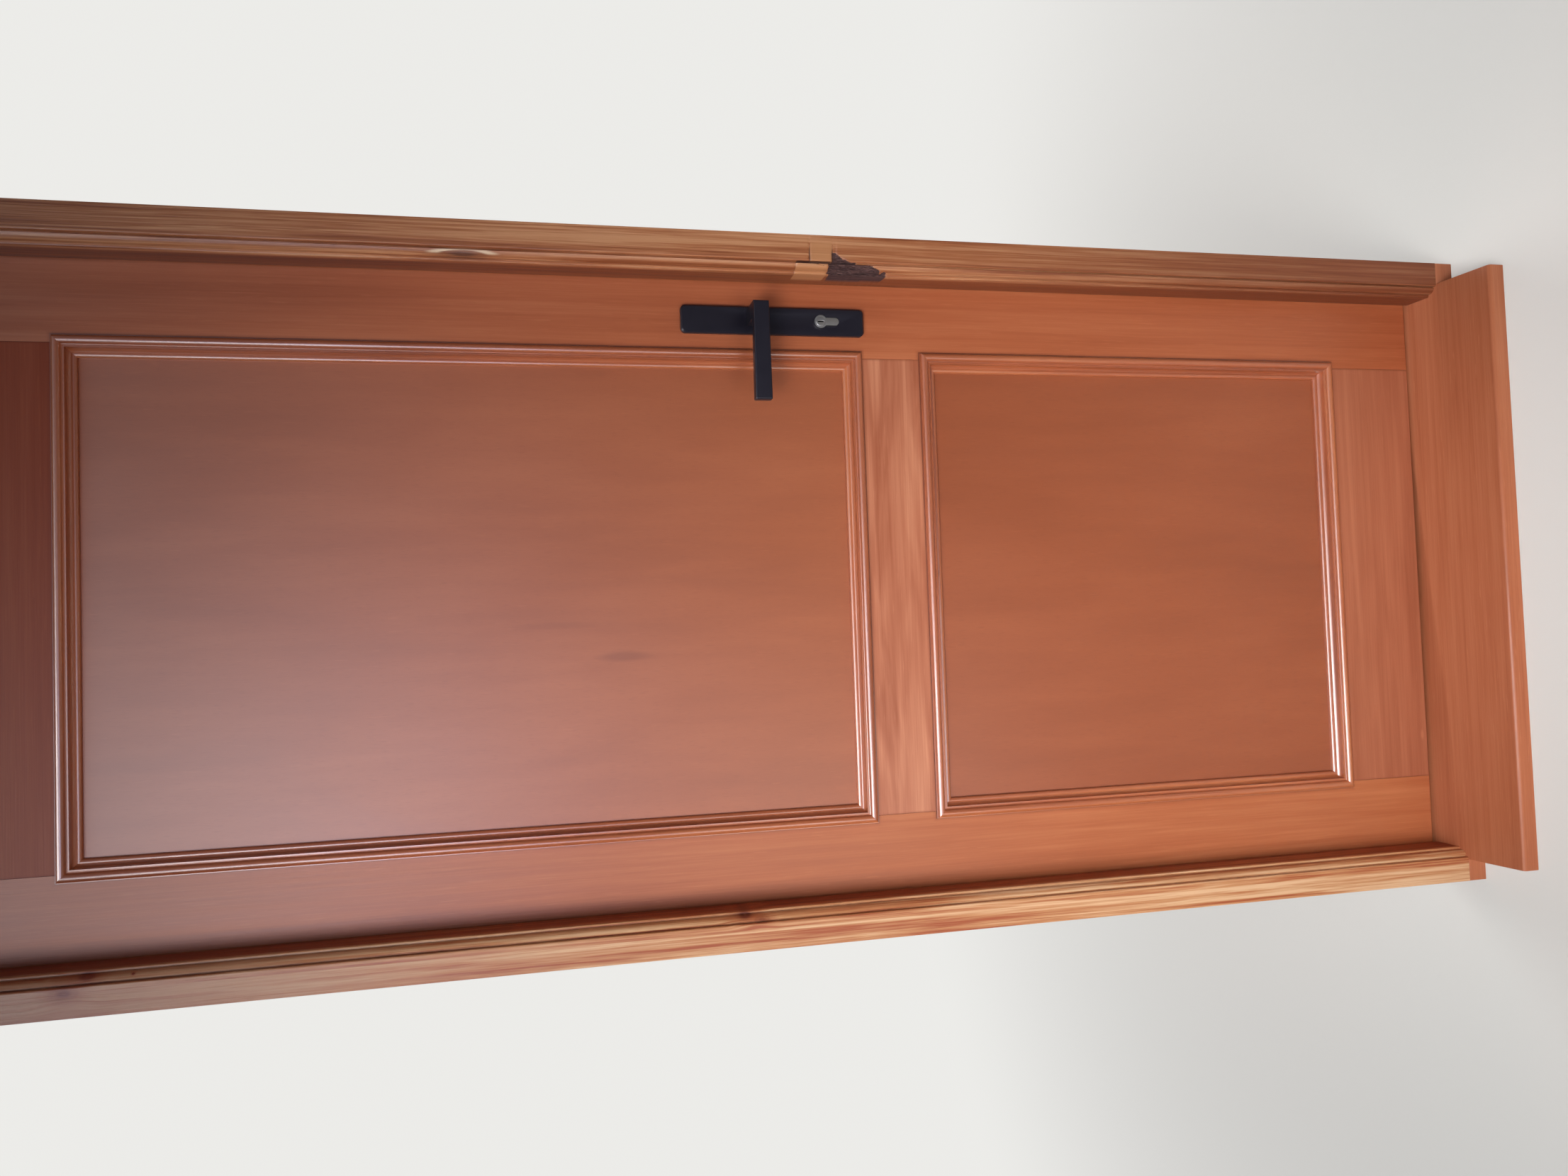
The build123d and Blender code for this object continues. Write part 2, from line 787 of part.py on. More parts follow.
def moulding_strip(edge_point, into, outward, half_side):
    """One mitred strip along a side of a panel opening."""
    inwards = Vector(*into)
    out = Vector(*outward)
    along = inwards.cross(out)
    section_plane = Plane(origin=edge_point, x_dir=inwards, z_dir=along)
    mitre_plane = Plane(origin=edge_point, x_dir=inwards, z_dir=out)
    with BuildPart() as strip:
        extrude(moulding_section(section_plane), amount=half_side + moulding_lap, both=True)
        with BuildSketch(mitre_plane):
            with BuildLine():
                Polyline(
                    (-moulding_lap, half_side + moulding_lap),
                    (moulding_reach, half_side - moulding_reach),
                    (moulding_reach, moulding_reach - half_side),
                    (-moulding_lap, -half_side - moulding_lap), close=True,
                )
            make_face()
        extrude(amount=2 * leaf_thickness, both=True, mode=Mode.INTERSECT)
    return strip


openings = {
    "upper": (upper_open_bottom, upper_open_top),
    "lower": (lower_open_bottom, lower_open_top),
}
faces = {"outer": (0.0, (0, -1, 0)), "inner": (leaf_thickness, (0, 1, 0))}
for level, (z_low, z_high) in openings.items():
    z_mid = (z_low + z_high) / 2
    sides = {
        "top": ((0, z_high), (0, 0, -1), stile_inner),
        "bottom": ((0, z_low), (0, 0, 1), stile_inner),
        "left": ((-stile_inner, z_mid), (1, 0, 0), (z_high - z_low) / 2),
        "right": ((stile_inner, z_mid), (-1, 0, 0), (z_high - z_low) / 2),
    }
    for face, (y, outward) in faces.items():
        for side, ((x, z), into, half_side) in sides.items():
            strip = moulding_strip((x, y, z), into, outward, half_side)
            keep(strip, f"{level}_{face}_moulding_{side}")


# Hinges: each lower knuckle is drilled into the hinge jamb, each upper one into the leaf's lip

with BuildPart() as hinge_pins:
    for z in hinge_heights:
        add(rod((hinge_x, hinge_y, z - pin_length / 2), (0, 0, 1), hinge_pin_radius, pin_length))
keep(hinge_pins, "hinge_pins")

with BuildPart() as hinge_washers:
    for z in hinge_heights:
        low = (hinge_x, hinge_y, z - washer_thickness / 2)
        add(rod(low, (0, 0, 1), barrel_radius - washer_setback, washer_thickness))
        add(rod(low, (0, 0, 1), hinge_pin_radius + pin_play, washer_thickness),
            mode=Mode.SUBTRACT)
keep(hinge_washers, "hinge_washers")


def knuckle(z, is_leaf):
    """One hinge half: a barrel with two drill-in studs and the pin's bore."""
    sign = 1 if is_leaf else -1
    bore_radius = hinge_pin_radius + pin_play
    face = z + sign * washer_thickness / 2
    with BuildPart() as half:
        add(rod((hinge_x, hinge_y, face), (0, 0, sign), barrel_radius, barrel_length))
        far_faces = half.faces().sort_by(Axis.Z)
        chamfer((far_faces[-1] if is_leaf else far_faces[0]).edges(), length=barrel_chamfer)
        for stud in hinge_studs(0, z, is_leaf):
            add(stud)
        bore_length = pin_length / 2 - washer_thickness / 2 + pin_play
        add(rod((hinge_x, hinge_y, face), (0, 0, sign), bore_radius, bore_length),
            mode=Mode.SUBTRACT)
    return half


for name, z in zip(hinge_names, hinge_heights):
    keep(knuckle(z, False), f"{name}_hinge_frame_knuckle")
    keep(knuckle(z, True), f"{name}_hinge_leaf_knuckle")


# Strike plate on the lock jamb

with BuildPart() as strike_plate:
    extrude(strike_outline(0), amount=strike_thickness)
    add(bolt_pocket, mode=Mode.SUBTRACT)
    add(latch_pocket, mode=Mode.SUBTRACT)
    for hole in strike_screws(screw_play):
        add(hole, mode=Mode.SUBTRACT)
keep(strike_plate, "strike_plate")

with BuildPart() as strike_plate_screws:
    for piece in strike_screws(0):
        add(piece)
keep(strike_plate_screws, "strike_plate_screws")


# Mortise lock

latch_half = latch_thickness / 2
bolt_half = bolt_thickness / 2
arm_rise = follower_arm * math.cos(math.radians(lever_travel / 2))
arm_swing = follower_arm * math.sin(math.radians(lever_travel / 2))
latch_tail_low = lever_height + arm_rise - latch_tail_cover
latch_lug_face = lock_x + arm_swing - follower_arm_radius - arm_play
latch_front = leaf_edge + latch_throw
latch_back = latch_front - latch_length
case_cavity_low = case_outer_face + case_wall
case_cavity_high = case_inner_face - case_wall

with BuildPart() as lock_case:
    add(block((case_back, case_front), (case_outer_face, case_inner_face), (case_low, case_high)))
    add(
        block((case_back + case_wall, case_front + past), (case_cavity_low, case_cavity_high),
              (case_low + case_wall, case_high - case_wall)),
        mode=Mode.SUBTRACT,
    )
    add(cylinder_hole(cylinder_play, case_outer_face - past, case_inner_face + past),
        mode=Mode.SUBTRACT)
    add(rod((lock_x, case_outer_face - past, lever_height), (0, 1, 0),
            follower_boss_radius + follower_boss_play, case_thickness + 2 * past),
        mode=Mode.SUBTRACT)
keep(lock_case, "lock_case")


def bolt_window(thickness, height, middle):
    """The opening in the faceplate for one bolt."""
    y_half = thickness / 2 + bolt_play
    z_half = height / 2 + bolt_play
    return block((case_front - past, leaf_edge + past), (lock_plane - y_half, lock_plane + y_half),
                 (middle - z_half, middle + z_half))


with BuildPart() as lock_faceplate:
    extrude(faceplate_outline(0), amount=faceplate_thickness)
    add(bolt_window(latch_thickness, latch_height, lever_height), mode=Mode.SUBTRACT)
    add(bolt_window(bolt_thickness, bolt_height, bolt_middle), mode=Mode.SUBTRACT)
    for hole in faceplate_screw_list(screw_play) + [cylinder_screw_shape(screw_play)]:
        add(hole, mode=Mode.SUBTRACT)
keep(lock_faceplate, "lock_faceplate")

with BuildPart() as faceplate_screws:
    for piece in faceplate_screw_list(0):
        add(piece)
keep(faceplate_screws, "faceplate_screws")

with BuildPart() as latch_bolt:
    with BuildSketch(Plane.XY.offset(lever_height - latch_height / 2)):
        with BuildLine():
            Polyline(
                (latch_back, lock_plane - latch_half),
                (leaf_edge - latch_bevel_start, lock_plane - latch_half),
                (latch_front, lock_plane + latch_half - latch_flat),
                (latch_front, lock_plane + latch_half), (latch_back, lock_plane + latch_half),
                close=True,
            )
        make_face()
    extrude(amount=latch_height)
    tail_from = lock_plane - latch_half + latch_tail_setback
    tail_y = (tail_from, tail_from + latch_tail_thickness)
    tail_top = latch_tail_low + latch_tail_height
    tail_end = latch_back + latch_tail_lap
    add(block((latch_back, tail_end), tail_y, (lever_height, tail_top)))
    add(block((latch_lug_face - latch_lug, tail_end), tail_y, (latch_tail_low, tail_top)))
    add(block((latch_lug_face - latch_lug, latch_lug_face),
              (tail_from, lock_plane + follower_arm_thickness / 2), (latch_tail_low, tail_top)))
keep(latch_bolt, "latch_bolt")

with BuildPart() as dead_bolt:
    bolt_back = leaf_edge - bolt_length
    add(block((bolt_back, leaf_edge), (lock_plane - bolt_half, lock_plane + bolt_half),
              (bolt_middle - bolt_height / 2, bolt_middle + bolt_height / 2)))
    tail_half = bolt_tail_thickness / 2
    tail_low = cylinder_height_z + cam_tooth_reach + bolt_tail_over_cam
    add(block((bolt_back - bolt_tail_length, bolt_back),
              (lock_plane - tail_half, lock_plane + tail_half),
              (tail_low, tail_low + bolt_tail_height)))
    chamfer(dead_bolt.faces().sort_by(Axis.X)[-1].edges(), length=bolt_chamfer)
keep(dead_bolt, "dead_bolt")

with BuildPart() as lock_follower:
    hub_from = case_cavity_low + hub_play
    hub_length = case_cavity_high - case_cavity_low - 2 * hub_play
    add(rod((lock_x, hub_from, lever_height), (0, 1, 0), follower_radius, hub_length))
    add(rod((lock_x, case_outer_face, lever_height), (0, 1, 0), follower_boss_radius,
            case_thickness))
    arm_plane = Plane.XZ.offset(-(lock_plane + follower_arm_thickness / 2))
    with BuildSketch(arm_plane):
        with Locations((lock_x, lever_height)):
            SlotCenterToCenter(
                2 * follower_arm, 2 * follower_arm_radius, rotation=90 - lever_travel / 2
            )
        with Locations((lock_x, lever_height - 2 * follower_arm)):
            Rectangle(4 * follower_arm, 4 * follower_arm, mode=Mode.SUBTRACT)
    extrude(amount=follower_arm_thickness)
    square = spindle_side / 2 + spindle_play
    add(
        block((lock_x - square, lock_x + square), (case_outer_face - past, case_inner_face + past),
              (lever_height - square, lever_height + square)),
        mode=Mode.SUBTRACT,
    )
keep(lock_follower, "lock_follower")


# Profile cylinder with its plug and cam

gap_half = cam_width / 2 + cam_play
with BuildPart() as cylinder_body:
    add(cylinder_hole(0, cylinder_outer_end, cylinder_inner_end))
    add(
        block((lock_x - 2 * cylinder_radius, lock_x + 2 * cylinder_radius),
              (lock_plane - gap_half, lock_plane + gap_half),
              (cam_web_top, cylinder_height_z + 2 * cylinder_radius)),
        mode=Mode.SUBTRACT,
    )
    add(rod((lock_x, cylinder_outer_end - past, cylinder_height_z), (0, 1, 0),
            plug_radius + plug_play, lock_plane - cylinder_outer_end + past), mode=Mode.SUBTRACT)
    add(cylinder_screw_shape(screw_play), mode=Mode.SUBTRACT)
    key_half = keyway_width / 2
    inner_key = block((lock_x - key_half, lock_x + key_half),
                      (cylinder_inner_end - keyway_depth, cylinder_inner_end + past),
                      (cylinder_height_z - keyway_height / 2, cylinder_height_z + keyway_height / 2))
    add(inner_key, mode=Mode.SUBTRACT)
keep(cylinder_body, "cylinder_body")

with BuildPart() as cylinder_plug:
    plug_end = lock_plane - cam_width / 2
    add(rod((lock_x, cylinder_outer_end, cylinder_height_z), (0, 1, 0), plug_radius,
            plug_end - cylinder_outer_end))
    add(block((lock_x - key_half, lock_x + key_half),
              (cylinder_outer_end - past, cylinder_outer_end + keyway_depth),
              (cylinder_height_z - keyway_height / 2, cylinder_height_z + keyway_height / 2)),
        mode=Mode.SUBTRACT)
keep(cylinder_plug, "cylinder_plug")

with BuildPart() as cylinder_cam:
    add(rod((lock_x, lock_plane - cam_width / 2, cylinder_height_z), (0, 1, 0), cam_radius,
            cam_width))
    with BuildSketch(Plane.XZ.offset(-(lock_plane + cam_width / 2))):
        with Locations((lock_x, cylinder_height_z - cam_tooth_reach / 2)):
            Rectangle(cam_tooth_width, cam_tooth_reach)
    extrude(amount=cam_width)
keep(cylinder_cam, "cylinder_cam")

with BuildPart() as cylinder_screw:
    add(cylinder_screw_shape(0))
keep(cylinder_screw, "cylinder_screw")


# Handle set: long plates, levers and spindle

def long_plate(mirrored):
    """A long plate as a shell with bosses round the lever, the cylinder and the screws."""
    back = leaf_thickness if mirrored else 0.0
    outwards = 1 if mirrored else -1
    back_plane = Plane(origin=(lock_x, back, plate_middle), x_dir=(-outwards, 0, 0),
                       z_dir=(0, outwards, 0))
    lever_z = lever_height - plate_middle
    cylinder_z = cylinder_height_z + cylinder_radius - cylinder_height / 2 - plate_middle
    pocket_width = plate_width - 2 * plate_skin
    bush_length = 2 * (neck_radius + bush_wall)
    with BuildPart() as plate:
        with BuildSketch(back_plane):
            RectangleRounded(plate_width, plate_length, plate_corner)
        extrude(amount=plate_thickness)
        front = plate.faces().filter_by_position(Axis.Y, *[back + outwards * plate_thickness] * 2)
        chamfer(front.edges(), length=plate_edge)
        with BuildSketch(back_plane):
            Rectangle(pocket_width, plate_length - 2 * plate_skin)
            with Locations((0, lever_z)):
                Rectangle(pocket_width, bush_length, mode=Mode.SUBTRACT)
            with Locations(*[(0, z - plate_middle) for z in plate_screw_heights]):
                Rectangle(pocket_width, post_width, mode=Mode.SUBTRACT)
            with Locations((0, cylinder_z)):
                Rectangle(pocket_width, cylinder_height + 2 * cylinder_boss, mode=Mode.SUBTRACT)
        extrude(amount=plate_thickness - plate_skin, mode=Mode.SUBTRACT)
        journal_hole = rod((lock_x, back - outwards * past, lever_height), (0, outwards, 0),
                           neck_radius + neck_play, plate_thickness + 2 * past)
        add(journal_hole, mode=Mode.SUBTRACT)
        low, high = sorted((back, back + plate_thickness * outwards))
        add(cylinder_hole(cylinder_play, low - past, high + past), mode=Mode.SUBTRACT)
        for hole in plate_screw_list(screw_play):
            add(hole, mode=Mode.SUBTRACT)
    return plate


keep(long_plate(False), "outer_plate")
keep(long_plate(True), "inner_plate")

with BuildPart() as plate_screws:
    for piece in plate_screw_list(0):
        add(piece)
keep(plate_screws, "plate_screws")


def lever_handle(mirrored):
    """A flat bar turned back to the plate, with a round journal that takes the spindle."""
    if mirrored:
        face, direction = leaf_thickness, 1
    else:
        face, direction = 0.0, -1
    bar_back = face + direction * lever_reach
    bar_front = bar_back + direction * lever_bar_thickness
    journal_end = face + direction * neck_foot_gap
    neck_end = face + direction * (plate_thickness + neck_gap)
    bar_plane = Plane(origin=(lock_x, bar_back, lever_height), x_dir=(-1, 0, 0),
                      z_dir=(0, direction, 0))
    tip = lever_length - lever_root
    half_root, half_tip = lever_root_height / 2, lever_tip_height / 2
    neck_height = half_root + (half_tip - half_root) * neck_width / lever_length
    with BuildPart() as lever:
        with BuildSketch(bar_plane):
            with BuildLine():
                Polyline((-lever_root, -half_root), (-lever_root, half_root), (tip, half_tip),
                         (tip, -half_tip), close=True)
            make_face()
        extrude(amount=lever_bar_thickness)
        with BuildSketch(bar_plane):
            with BuildLine():
                Polyline((-lever_root, -half_root), (-lever_root, half_root),
                         (neck_width - lever_root, neck_height),
                         (neck_width - lever_root, -neck_height), close=True)
            make_face()
        extrude(amount=-abs(bar_back - neck_end))
        tip_x = lock_x - tip
        ends = lever.edges().filter_by_position(Axis.X, tip_x, tip_x)
        front = lever.edges().filter_by_position(Axis.Y, bar_front, bar_front)
        fillet(set(ends + front), radius=lever_edge)
        add(rod((lock_x, journal_end, lever_height), (0, direction, 0), neck_radius,
                abs(neck_end - journal_end)))
        square = spindle_side / 2 + spindle_play
        bore = sorted((journal_end - direction, face + direction * (spindle_bite + past)))
        add(block((lock_x - square, lock_x + square), bore,
                  (lever_height - square, lever_height + square)), mode=Mode.SUBTRACT)
        add(rod((lock_x, face + direction * grub_stand, lever_height), (0, 0, -1),
                grub_radius + screw_play, lever_root_height), mode=Mode.SUBTRACT)
    return lever


keep(lever_handle(False), "outer_lever")
keep(lever_handle(True), "inner_lever")

with BuildPart() as spindle:
    half_side = spindle_side / 2
    add(block((lock_x - half_side, lock_x + half_side),
              (-spindle_bite, leaf_thickness + spindle_bite),
              (lever_height - half_side, lever_height + half_side)))
    chamfer(spindle.edges().filter_by(Axis.Y), length=spindle_chamfer)
keep(spindle, "spindle")

with BuildPart() as grub_screws:
    for y in (-grub_stand, leaf_thickness + grub_stand):
        add(rod((lock_x, y, lever_height - half_side - screw_play), (0, 0, -1), grub_radius,
                lever_root_height / 2 - half_side - screw_play - grub_head_depth))
keep(grub_screws, "grub_screws")
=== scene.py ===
import json
import logging
import math
from dataclasses import dataclass, field, replace
from enum import Enum
from typing import Callable

import bmesh
import bpy
from mathutils import Matrix, Vector, noise

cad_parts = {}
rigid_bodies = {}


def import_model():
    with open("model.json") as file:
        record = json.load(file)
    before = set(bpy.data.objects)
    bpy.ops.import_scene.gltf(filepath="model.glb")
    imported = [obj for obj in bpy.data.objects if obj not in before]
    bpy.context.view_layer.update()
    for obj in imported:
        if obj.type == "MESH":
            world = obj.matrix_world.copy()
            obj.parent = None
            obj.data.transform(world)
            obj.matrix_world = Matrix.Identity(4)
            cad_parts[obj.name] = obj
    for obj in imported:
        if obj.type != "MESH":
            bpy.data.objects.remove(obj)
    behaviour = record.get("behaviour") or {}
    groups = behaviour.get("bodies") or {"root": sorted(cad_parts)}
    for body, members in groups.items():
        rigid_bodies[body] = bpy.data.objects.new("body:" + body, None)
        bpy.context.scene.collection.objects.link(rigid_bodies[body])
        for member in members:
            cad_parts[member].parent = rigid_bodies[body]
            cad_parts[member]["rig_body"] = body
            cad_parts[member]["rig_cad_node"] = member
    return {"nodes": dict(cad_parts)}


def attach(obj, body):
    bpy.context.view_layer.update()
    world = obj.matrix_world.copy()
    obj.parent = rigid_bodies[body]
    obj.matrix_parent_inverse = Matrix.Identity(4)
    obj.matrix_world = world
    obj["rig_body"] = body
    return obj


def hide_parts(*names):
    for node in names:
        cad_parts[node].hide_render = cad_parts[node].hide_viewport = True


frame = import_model()

log = logging.getLogger("door")

Triple = Colour = tuple[float, float, float]
Pair = tuple[float, float]

MM = 0.001
TINY = 1e-6
FLAT_ANGLE = 0.5
SMOOTH_ANGLE = 35.0
MOULDING_ANGLE = 40.0
SHARP_ANGLE = 50.0
DAMAGE_ANGLE = 42.0
DAMAGE_MARKS = ("torn", "filler", "crack")


class Grain(Enum):
    """The axis along which a board's grain runs."""

    ALONG_X = 0
    ALONG_Z = 2


# Shader sockets and node trees

class Socket:
    """An output socket of a node, on which Python's sums add Math nodes."""

    def __init__(self, tree: "Tree", out: bpy.types.NodeSocket) -> None:
        """Wraps one of Blender's own sockets."""
        self.tree = tree
        self.out = out

    def beside(self, name: str) -> "Socket":
        """Another output of the same node."""
        return Socket(self.tree, self.out.node.outputs[name])

    def _math(self, operation: str, first: "Value", second: "Value" = 0.0) -> "Socket":
        """The result of a Math node, by Blender's name for its operation."""
        return self.tree.node("ShaderNodeMath", {"operation": operation}, {0: first, 1: second})

    def __add__(self, other: "Value") -> "Socket":
        """The sum with another value."""
        return self._math("ADD", self, other)

    def __sub__(self, other: "Value") -> "Socket":
        """The difference from another value."""
        return self._math("SUBTRACT", self, other)

    def __rsub__(self, other: "Value") -> "Socket":
        """A number less this socket."""
        return self._math("SUBTRACT", other, self)

    def __mul__(self, other: "Value") -> "Socket":
        """The product with another value."""
        return self._math("MULTIPLY", self, other)

    def __truediv__(self, other: "Value") -> "Socket":
        """The quotient by another value."""
        return self._math("DIVIDE", self, other)

    def __abs__(self) -> "Socket":
        """The value without its sign."""
        return self._math("ABSOLUTE", self)

    def most(self, other: "Value") -> "Socket":
        """The larger of this and another value."""
        return self._math("MAXIMUM", self, other)

    def across(self, other: "Socket") -> "Socket":
        """The distance made by this and another value at right angles."""
        return self._math("POWER", self * self + other * other, 0.5)

    def sine(self) -> "Socket":
        """The sine of this value."""
        return self._math("SINE", self)

    def step(self, low: float, high: float) -> "Socket":
        """A soft step from 0 at one value to 1 at the other, which may lie below it."""
        ends = {"Value": self, "From Min": low, "From Max": high}
        return self.tree.node("ShaderNodeMapRange", {"interpolation_type": "SMOOTHSTEP"}, ends)


Value = Socket | float


class Tree:
    """A node tree, in which one method makes every node."""

    def __init__(self, tree: bpy.types.NodeTree) -> None:
        """Wraps Blender's own tree."""
        self.tree = tree

    def node(self, kind: str, settings: dict | None = None, inputs: dict | None = None,
             out: int | str = 0) -> Socket:
        """Adds any node.

        Args:
            kind: Blender's type name of the node.
            settings: the node's own settings, made before its sockets are fed.
            inputs: a value, colour or link for each socket, by name or number.
            out: which of its outputs is wanted, by name or number.

        Returns:
            The new node's output.
        """
        made = self.tree.nodes.new(kind)
        for key, value in (settings or {}).items():
            setattr(made, key, value)
        for key, value in (inputs or {}).items():
            self.feed(made.inputs[key], value)
        return Socket(self, made.outputs[out])

    def feed(self, socket: bpy.types.NodeSocket, value: object) -> None:
        """Links or sets one input socket."""
        if isinstance(value, Socket):
            self.tree.links.new(value.out, socket)
        elif isinstance(value, tuple) and socket.type == "RGBA":
            socket.default_value = (*value, 1.0)
        else:
            socket.default_value = value


class Recipe(Tree):
    """The node tree of one material, with the few nodes that every finish here shares."""

    def __init__(self, name: str) -> None:
        """Starts a material with its surface shader.

        Args:
            name: the material's name.
        """
        self.material = bpy.data.materials.new(name)
        self.material.use_nodes = True
        super().__init__(self.material.node_tree)
        self.shader = self.tree.nodes["Principled BSDF"]

    def surface(self, **inputs: object) -> None:
        """Feeds the surface shader, with underscores for the spaces in its socket names."""
        for key, value in inputs.items():
            self.feed(self.shader.inputs[key.replace("_", " ")], value)

    def where(self) -> Socket:
        """The piece's own coordinates in metres, as a vector."""
        return self.node("ShaderNodeTexCoord", out="Object")

    def place(self) -> list[Socket]:
        """The piece's own X, Y and Z in metres."""
        parts = self.node("ShaderNodeSeparateXYZ", inputs={0: self.where()})
        return [parts.beside(axis) for axis in "XYZ"]

    def ramp(self, tone: Socket, *stops: tuple[float, Colour]) -> Socket:
        """Colours a tone.

        Args:
            tone: a value around one half.
            stops: positions and their colours.

        Returns:
            The colour.
        """
        made = self.node("ShaderNodeValToRGB", {}, {0: tone})
        elements = made.out.node.color_ramp.elements
        while len(elements) < len(stops):
            elements.new(1.0)
        for element, (position, colour) in zip(elements, stops):
            element.position = position
            element.color = (*colour, 1.0)
        return made

    def lay(self, colour: Socket | Colour, *coats: tuple[Value, Socket | Colour]) -> Socket:
        """Lays coats over a colour, one after the other.

        Args:
            colour: the colour underneath.
            coats: each coat's share and colour.

        Returns:
            The mixed colour.
        """
        for share, coat in coats:
            colour = self.node("ShaderNodeMix", {"data_type": "RGBA", "clamp_factor": True},
                               {0: share, 6: colour, 7: coat}, 2)
        return colour

    def bump(self, height: Socket, distance: float) -> Socket:
        """The normal bumped by a height from 0 to 1, with what a height of 1 is in metres."""
        return self.node("ShaderNodeBump", {}, {"Height": height, "Distance": distance})


@dataclass(frozen=True)
class Board:
    """A board, or a block of metal, whose material is made; its number moves its patterns."""

    recipe: Recipe
    grain: Grain
    number: int


@dataclass(frozen=True)
class Layer:
    """One layer of noise in a surface, with its repeats in a metre."""

    across: float
    along: float
    detail: float
    roughness: float = 0.5
    swirl: float = 0.0

    def read(self, board: Board, where: Socket, further: int = 0) -> Socket:
        """Reads the noise.

        Args:
            board: the board.
            where: the coordinates that it is read at.
            further: added to the board's number.

        Returns:
            The noise, around one half.
        """
        scale = [self.across] * 3
        scale[board.grain.value] = self.along
        number = board.number + further
        shift = (7.31 * number % 19.0, 3.77 * number % 17.0, 5.23 * number % 23.0)
        moved = board.recipe.node("ShaderNodeVectorMath", {"operation": "MULTIPLY_ADD"},
                                  {0: where, 1: tuple(scale), 2: shift})
        return board.recipe.node("ShaderNodeTexNoise", {}, {
            "Vector": moved, "Scale": 1.0, "Detail": self.detail, "Roughness": self.roughness,
            "Distortion": self.swirl,
        }, "Fac")


def weighed(*parts: tuple[Socket, float]) -> Socket:
    """Sums noises around one half.

    Args:
        parts: each noise with its weight.

    Returns:
        The sum, around one half.
    """
    total: Value = 0.5
    for part, weight in parts:
        total = (part - 0.5) * weight + total
    return total


EDGE_SOFTNESS = 0.6 * MM
SEAM_AT = 302.7 * MM


@dataclass(frozen=True)
class PanelOutline:
    """The outer edge of a panel's mouldings on the leaf's face, in metres."""

    half_width: float
    bottom: float
    top: float

    def line(self, x: Socket, z: Socket, fades: float, full: float) -> Socket:
        """A dark band round the outside of the outline: painted shade beside the mouldings.

        Args:
            x: the across coordinate.
            z: the height.
            fades: the distance at which the line has faded out.
            full: the distance within which it is full.

        Returns:
            The line's strength, from 0 to 1.
        """
        middle, half = (self.bottom + self.top) / 2, (self.top - self.bottom) / 2
        gap = (abs(x) - self.half_width).most(abs(z - middle) - half)
        return gap.step(fades, full) * gap.step(-EDGE_SOFTNESS, 0.0)


OUTLINES = (PanelOutline(0.312, 0.887, 1.854), PanelOutline(0.312, 0.165, 0.806))


@dataclass(frozen=True)
class Streak:
    """A long faint mark that follows the grain of a board."""

    across: float
    along: float
    width: float
    length: float
    strength: float

    def share(self, x: Socket, z: Socket, ragged: Socket) -> Socket:
        """How strongly the mark shows, from 0 to 1, with noise that frays its edge."""
        side, down = (x - self.across) / self.width, (z - self.along) / self.length
        return (side.across(down) + ragged * 0.9).step(1.0, 0.25) * self.strength


class Wood:
    """A stained wood, which gives each board a material of its own."""

    def make(self, name: str, grain: Grain, number: int) -> bpy.types.Material:
        """Builds the material for one board.

        Args:
            name: the material's name.
            grain: the axis of the grain.
            number: the board's number, which moves its patterns.

        Returns:
            The material.
        """
        board = Board(Recipe(name), grain, number)
        self.stain(board)
        return board.recipe.material

    def stain(self, board: Board) -> None:
        """Feeds the board's surface shader, which each wood does in its own way."""
        raise NotImplementedError


@dataclass(frozen=True)
class StainedBoard(Wood):
    """Satin orange-brown stain on planed softwood."""

    dark: Colour = (0.33, 0.080, 0.028)
    middle: Colour = (0.43, 0.118, 0.045)
    pale: Colour = (0.54, 0.175, 0.074)
    crack: Colour = (0.10, 0.025, 0.012)
    figure: float = 0.55
    broad: Layer = Layer(9.0, 0.9, 2.0, 0.5, 0.6)
    streaks: Layer = Layer(95.0, 2.2, 3.0, 0.6, 0.42)
    fine: Layer = Layer(620.0, 9.0, 2.0, 0.6)
    ticks: Layer = Layer(640.0, 26.0, 1.0)
    clouds: Layer = Layer(7.0, 3.0, 2.0)
    dashes: float = 0.28
    seams: bool = False
    knots: tuple[Streak, ...] = ()
    roughness: float = 0.40
    specular: float = 0.35
    relief: float = 0.18 * MM

    def stain(self, board: Board) -> None:
        """Feeds the surface shader.

        Args:
            board: the board.
        """
        recipe, where = board.recipe, board.recipe.where()
        broad, streak, fine, ticks = (
            layer.read(board, where)
            for layer in (self.broad, self.streaks, self.fine, self.ticks))
        clouds = self.clouds.read(board, where, 20)
        tone = weighed((broad, self.figure), (streak, 0.50), (fine, 0.28), (clouds, 0.35))
        colour = recipe.ramp(tone, (0.22, self.dark), (0.5, self.middle), (0.80, self.pale))
        colour = recipe.lay(colour, (ticks.step(0.64, 0.74) * self.dashes, self.pale))
        x, _, z = recipe.place()
        for knot in self.knots:
            colour = recipe.lay(colour, (knot.share(x, z, streak - 0.5), self.pale))
        # Painted shade round the mouldings: a soft shadow band in the dark colour, and a thin line
        # in the crack colour that is partly the joint and partly painted shadow.
        for outline in OUTLINES:
            shadow, line = outline.line(x, z, 6.0 * MM, 0.0), outline.line(x, z, 2.0 * MM, 0.3 * MM)
            colour = recipe.lay(colour, (shadow * 0.45, self.dark), (line * 0.45, self.crack))
        if self.seams:
            soft, seam = (abs(x).step(SEAM_AT - width, SEAM_AT) for width in (3.7 * MM, 0.8 * MM))
            colour = recipe.lay(colour, (soft * 0.5, self.dark), (seam * 0.42, self.crack))
        recipe.surface(
            Base_Color=colour, Roughness=(streak - 0.5) * 0.12 + self.roughness,
            Normal=recipe.bump(fine * 0.6 + streak * 0.4, self.relief),
            Specular_IOR_Level=self.specular,
        )


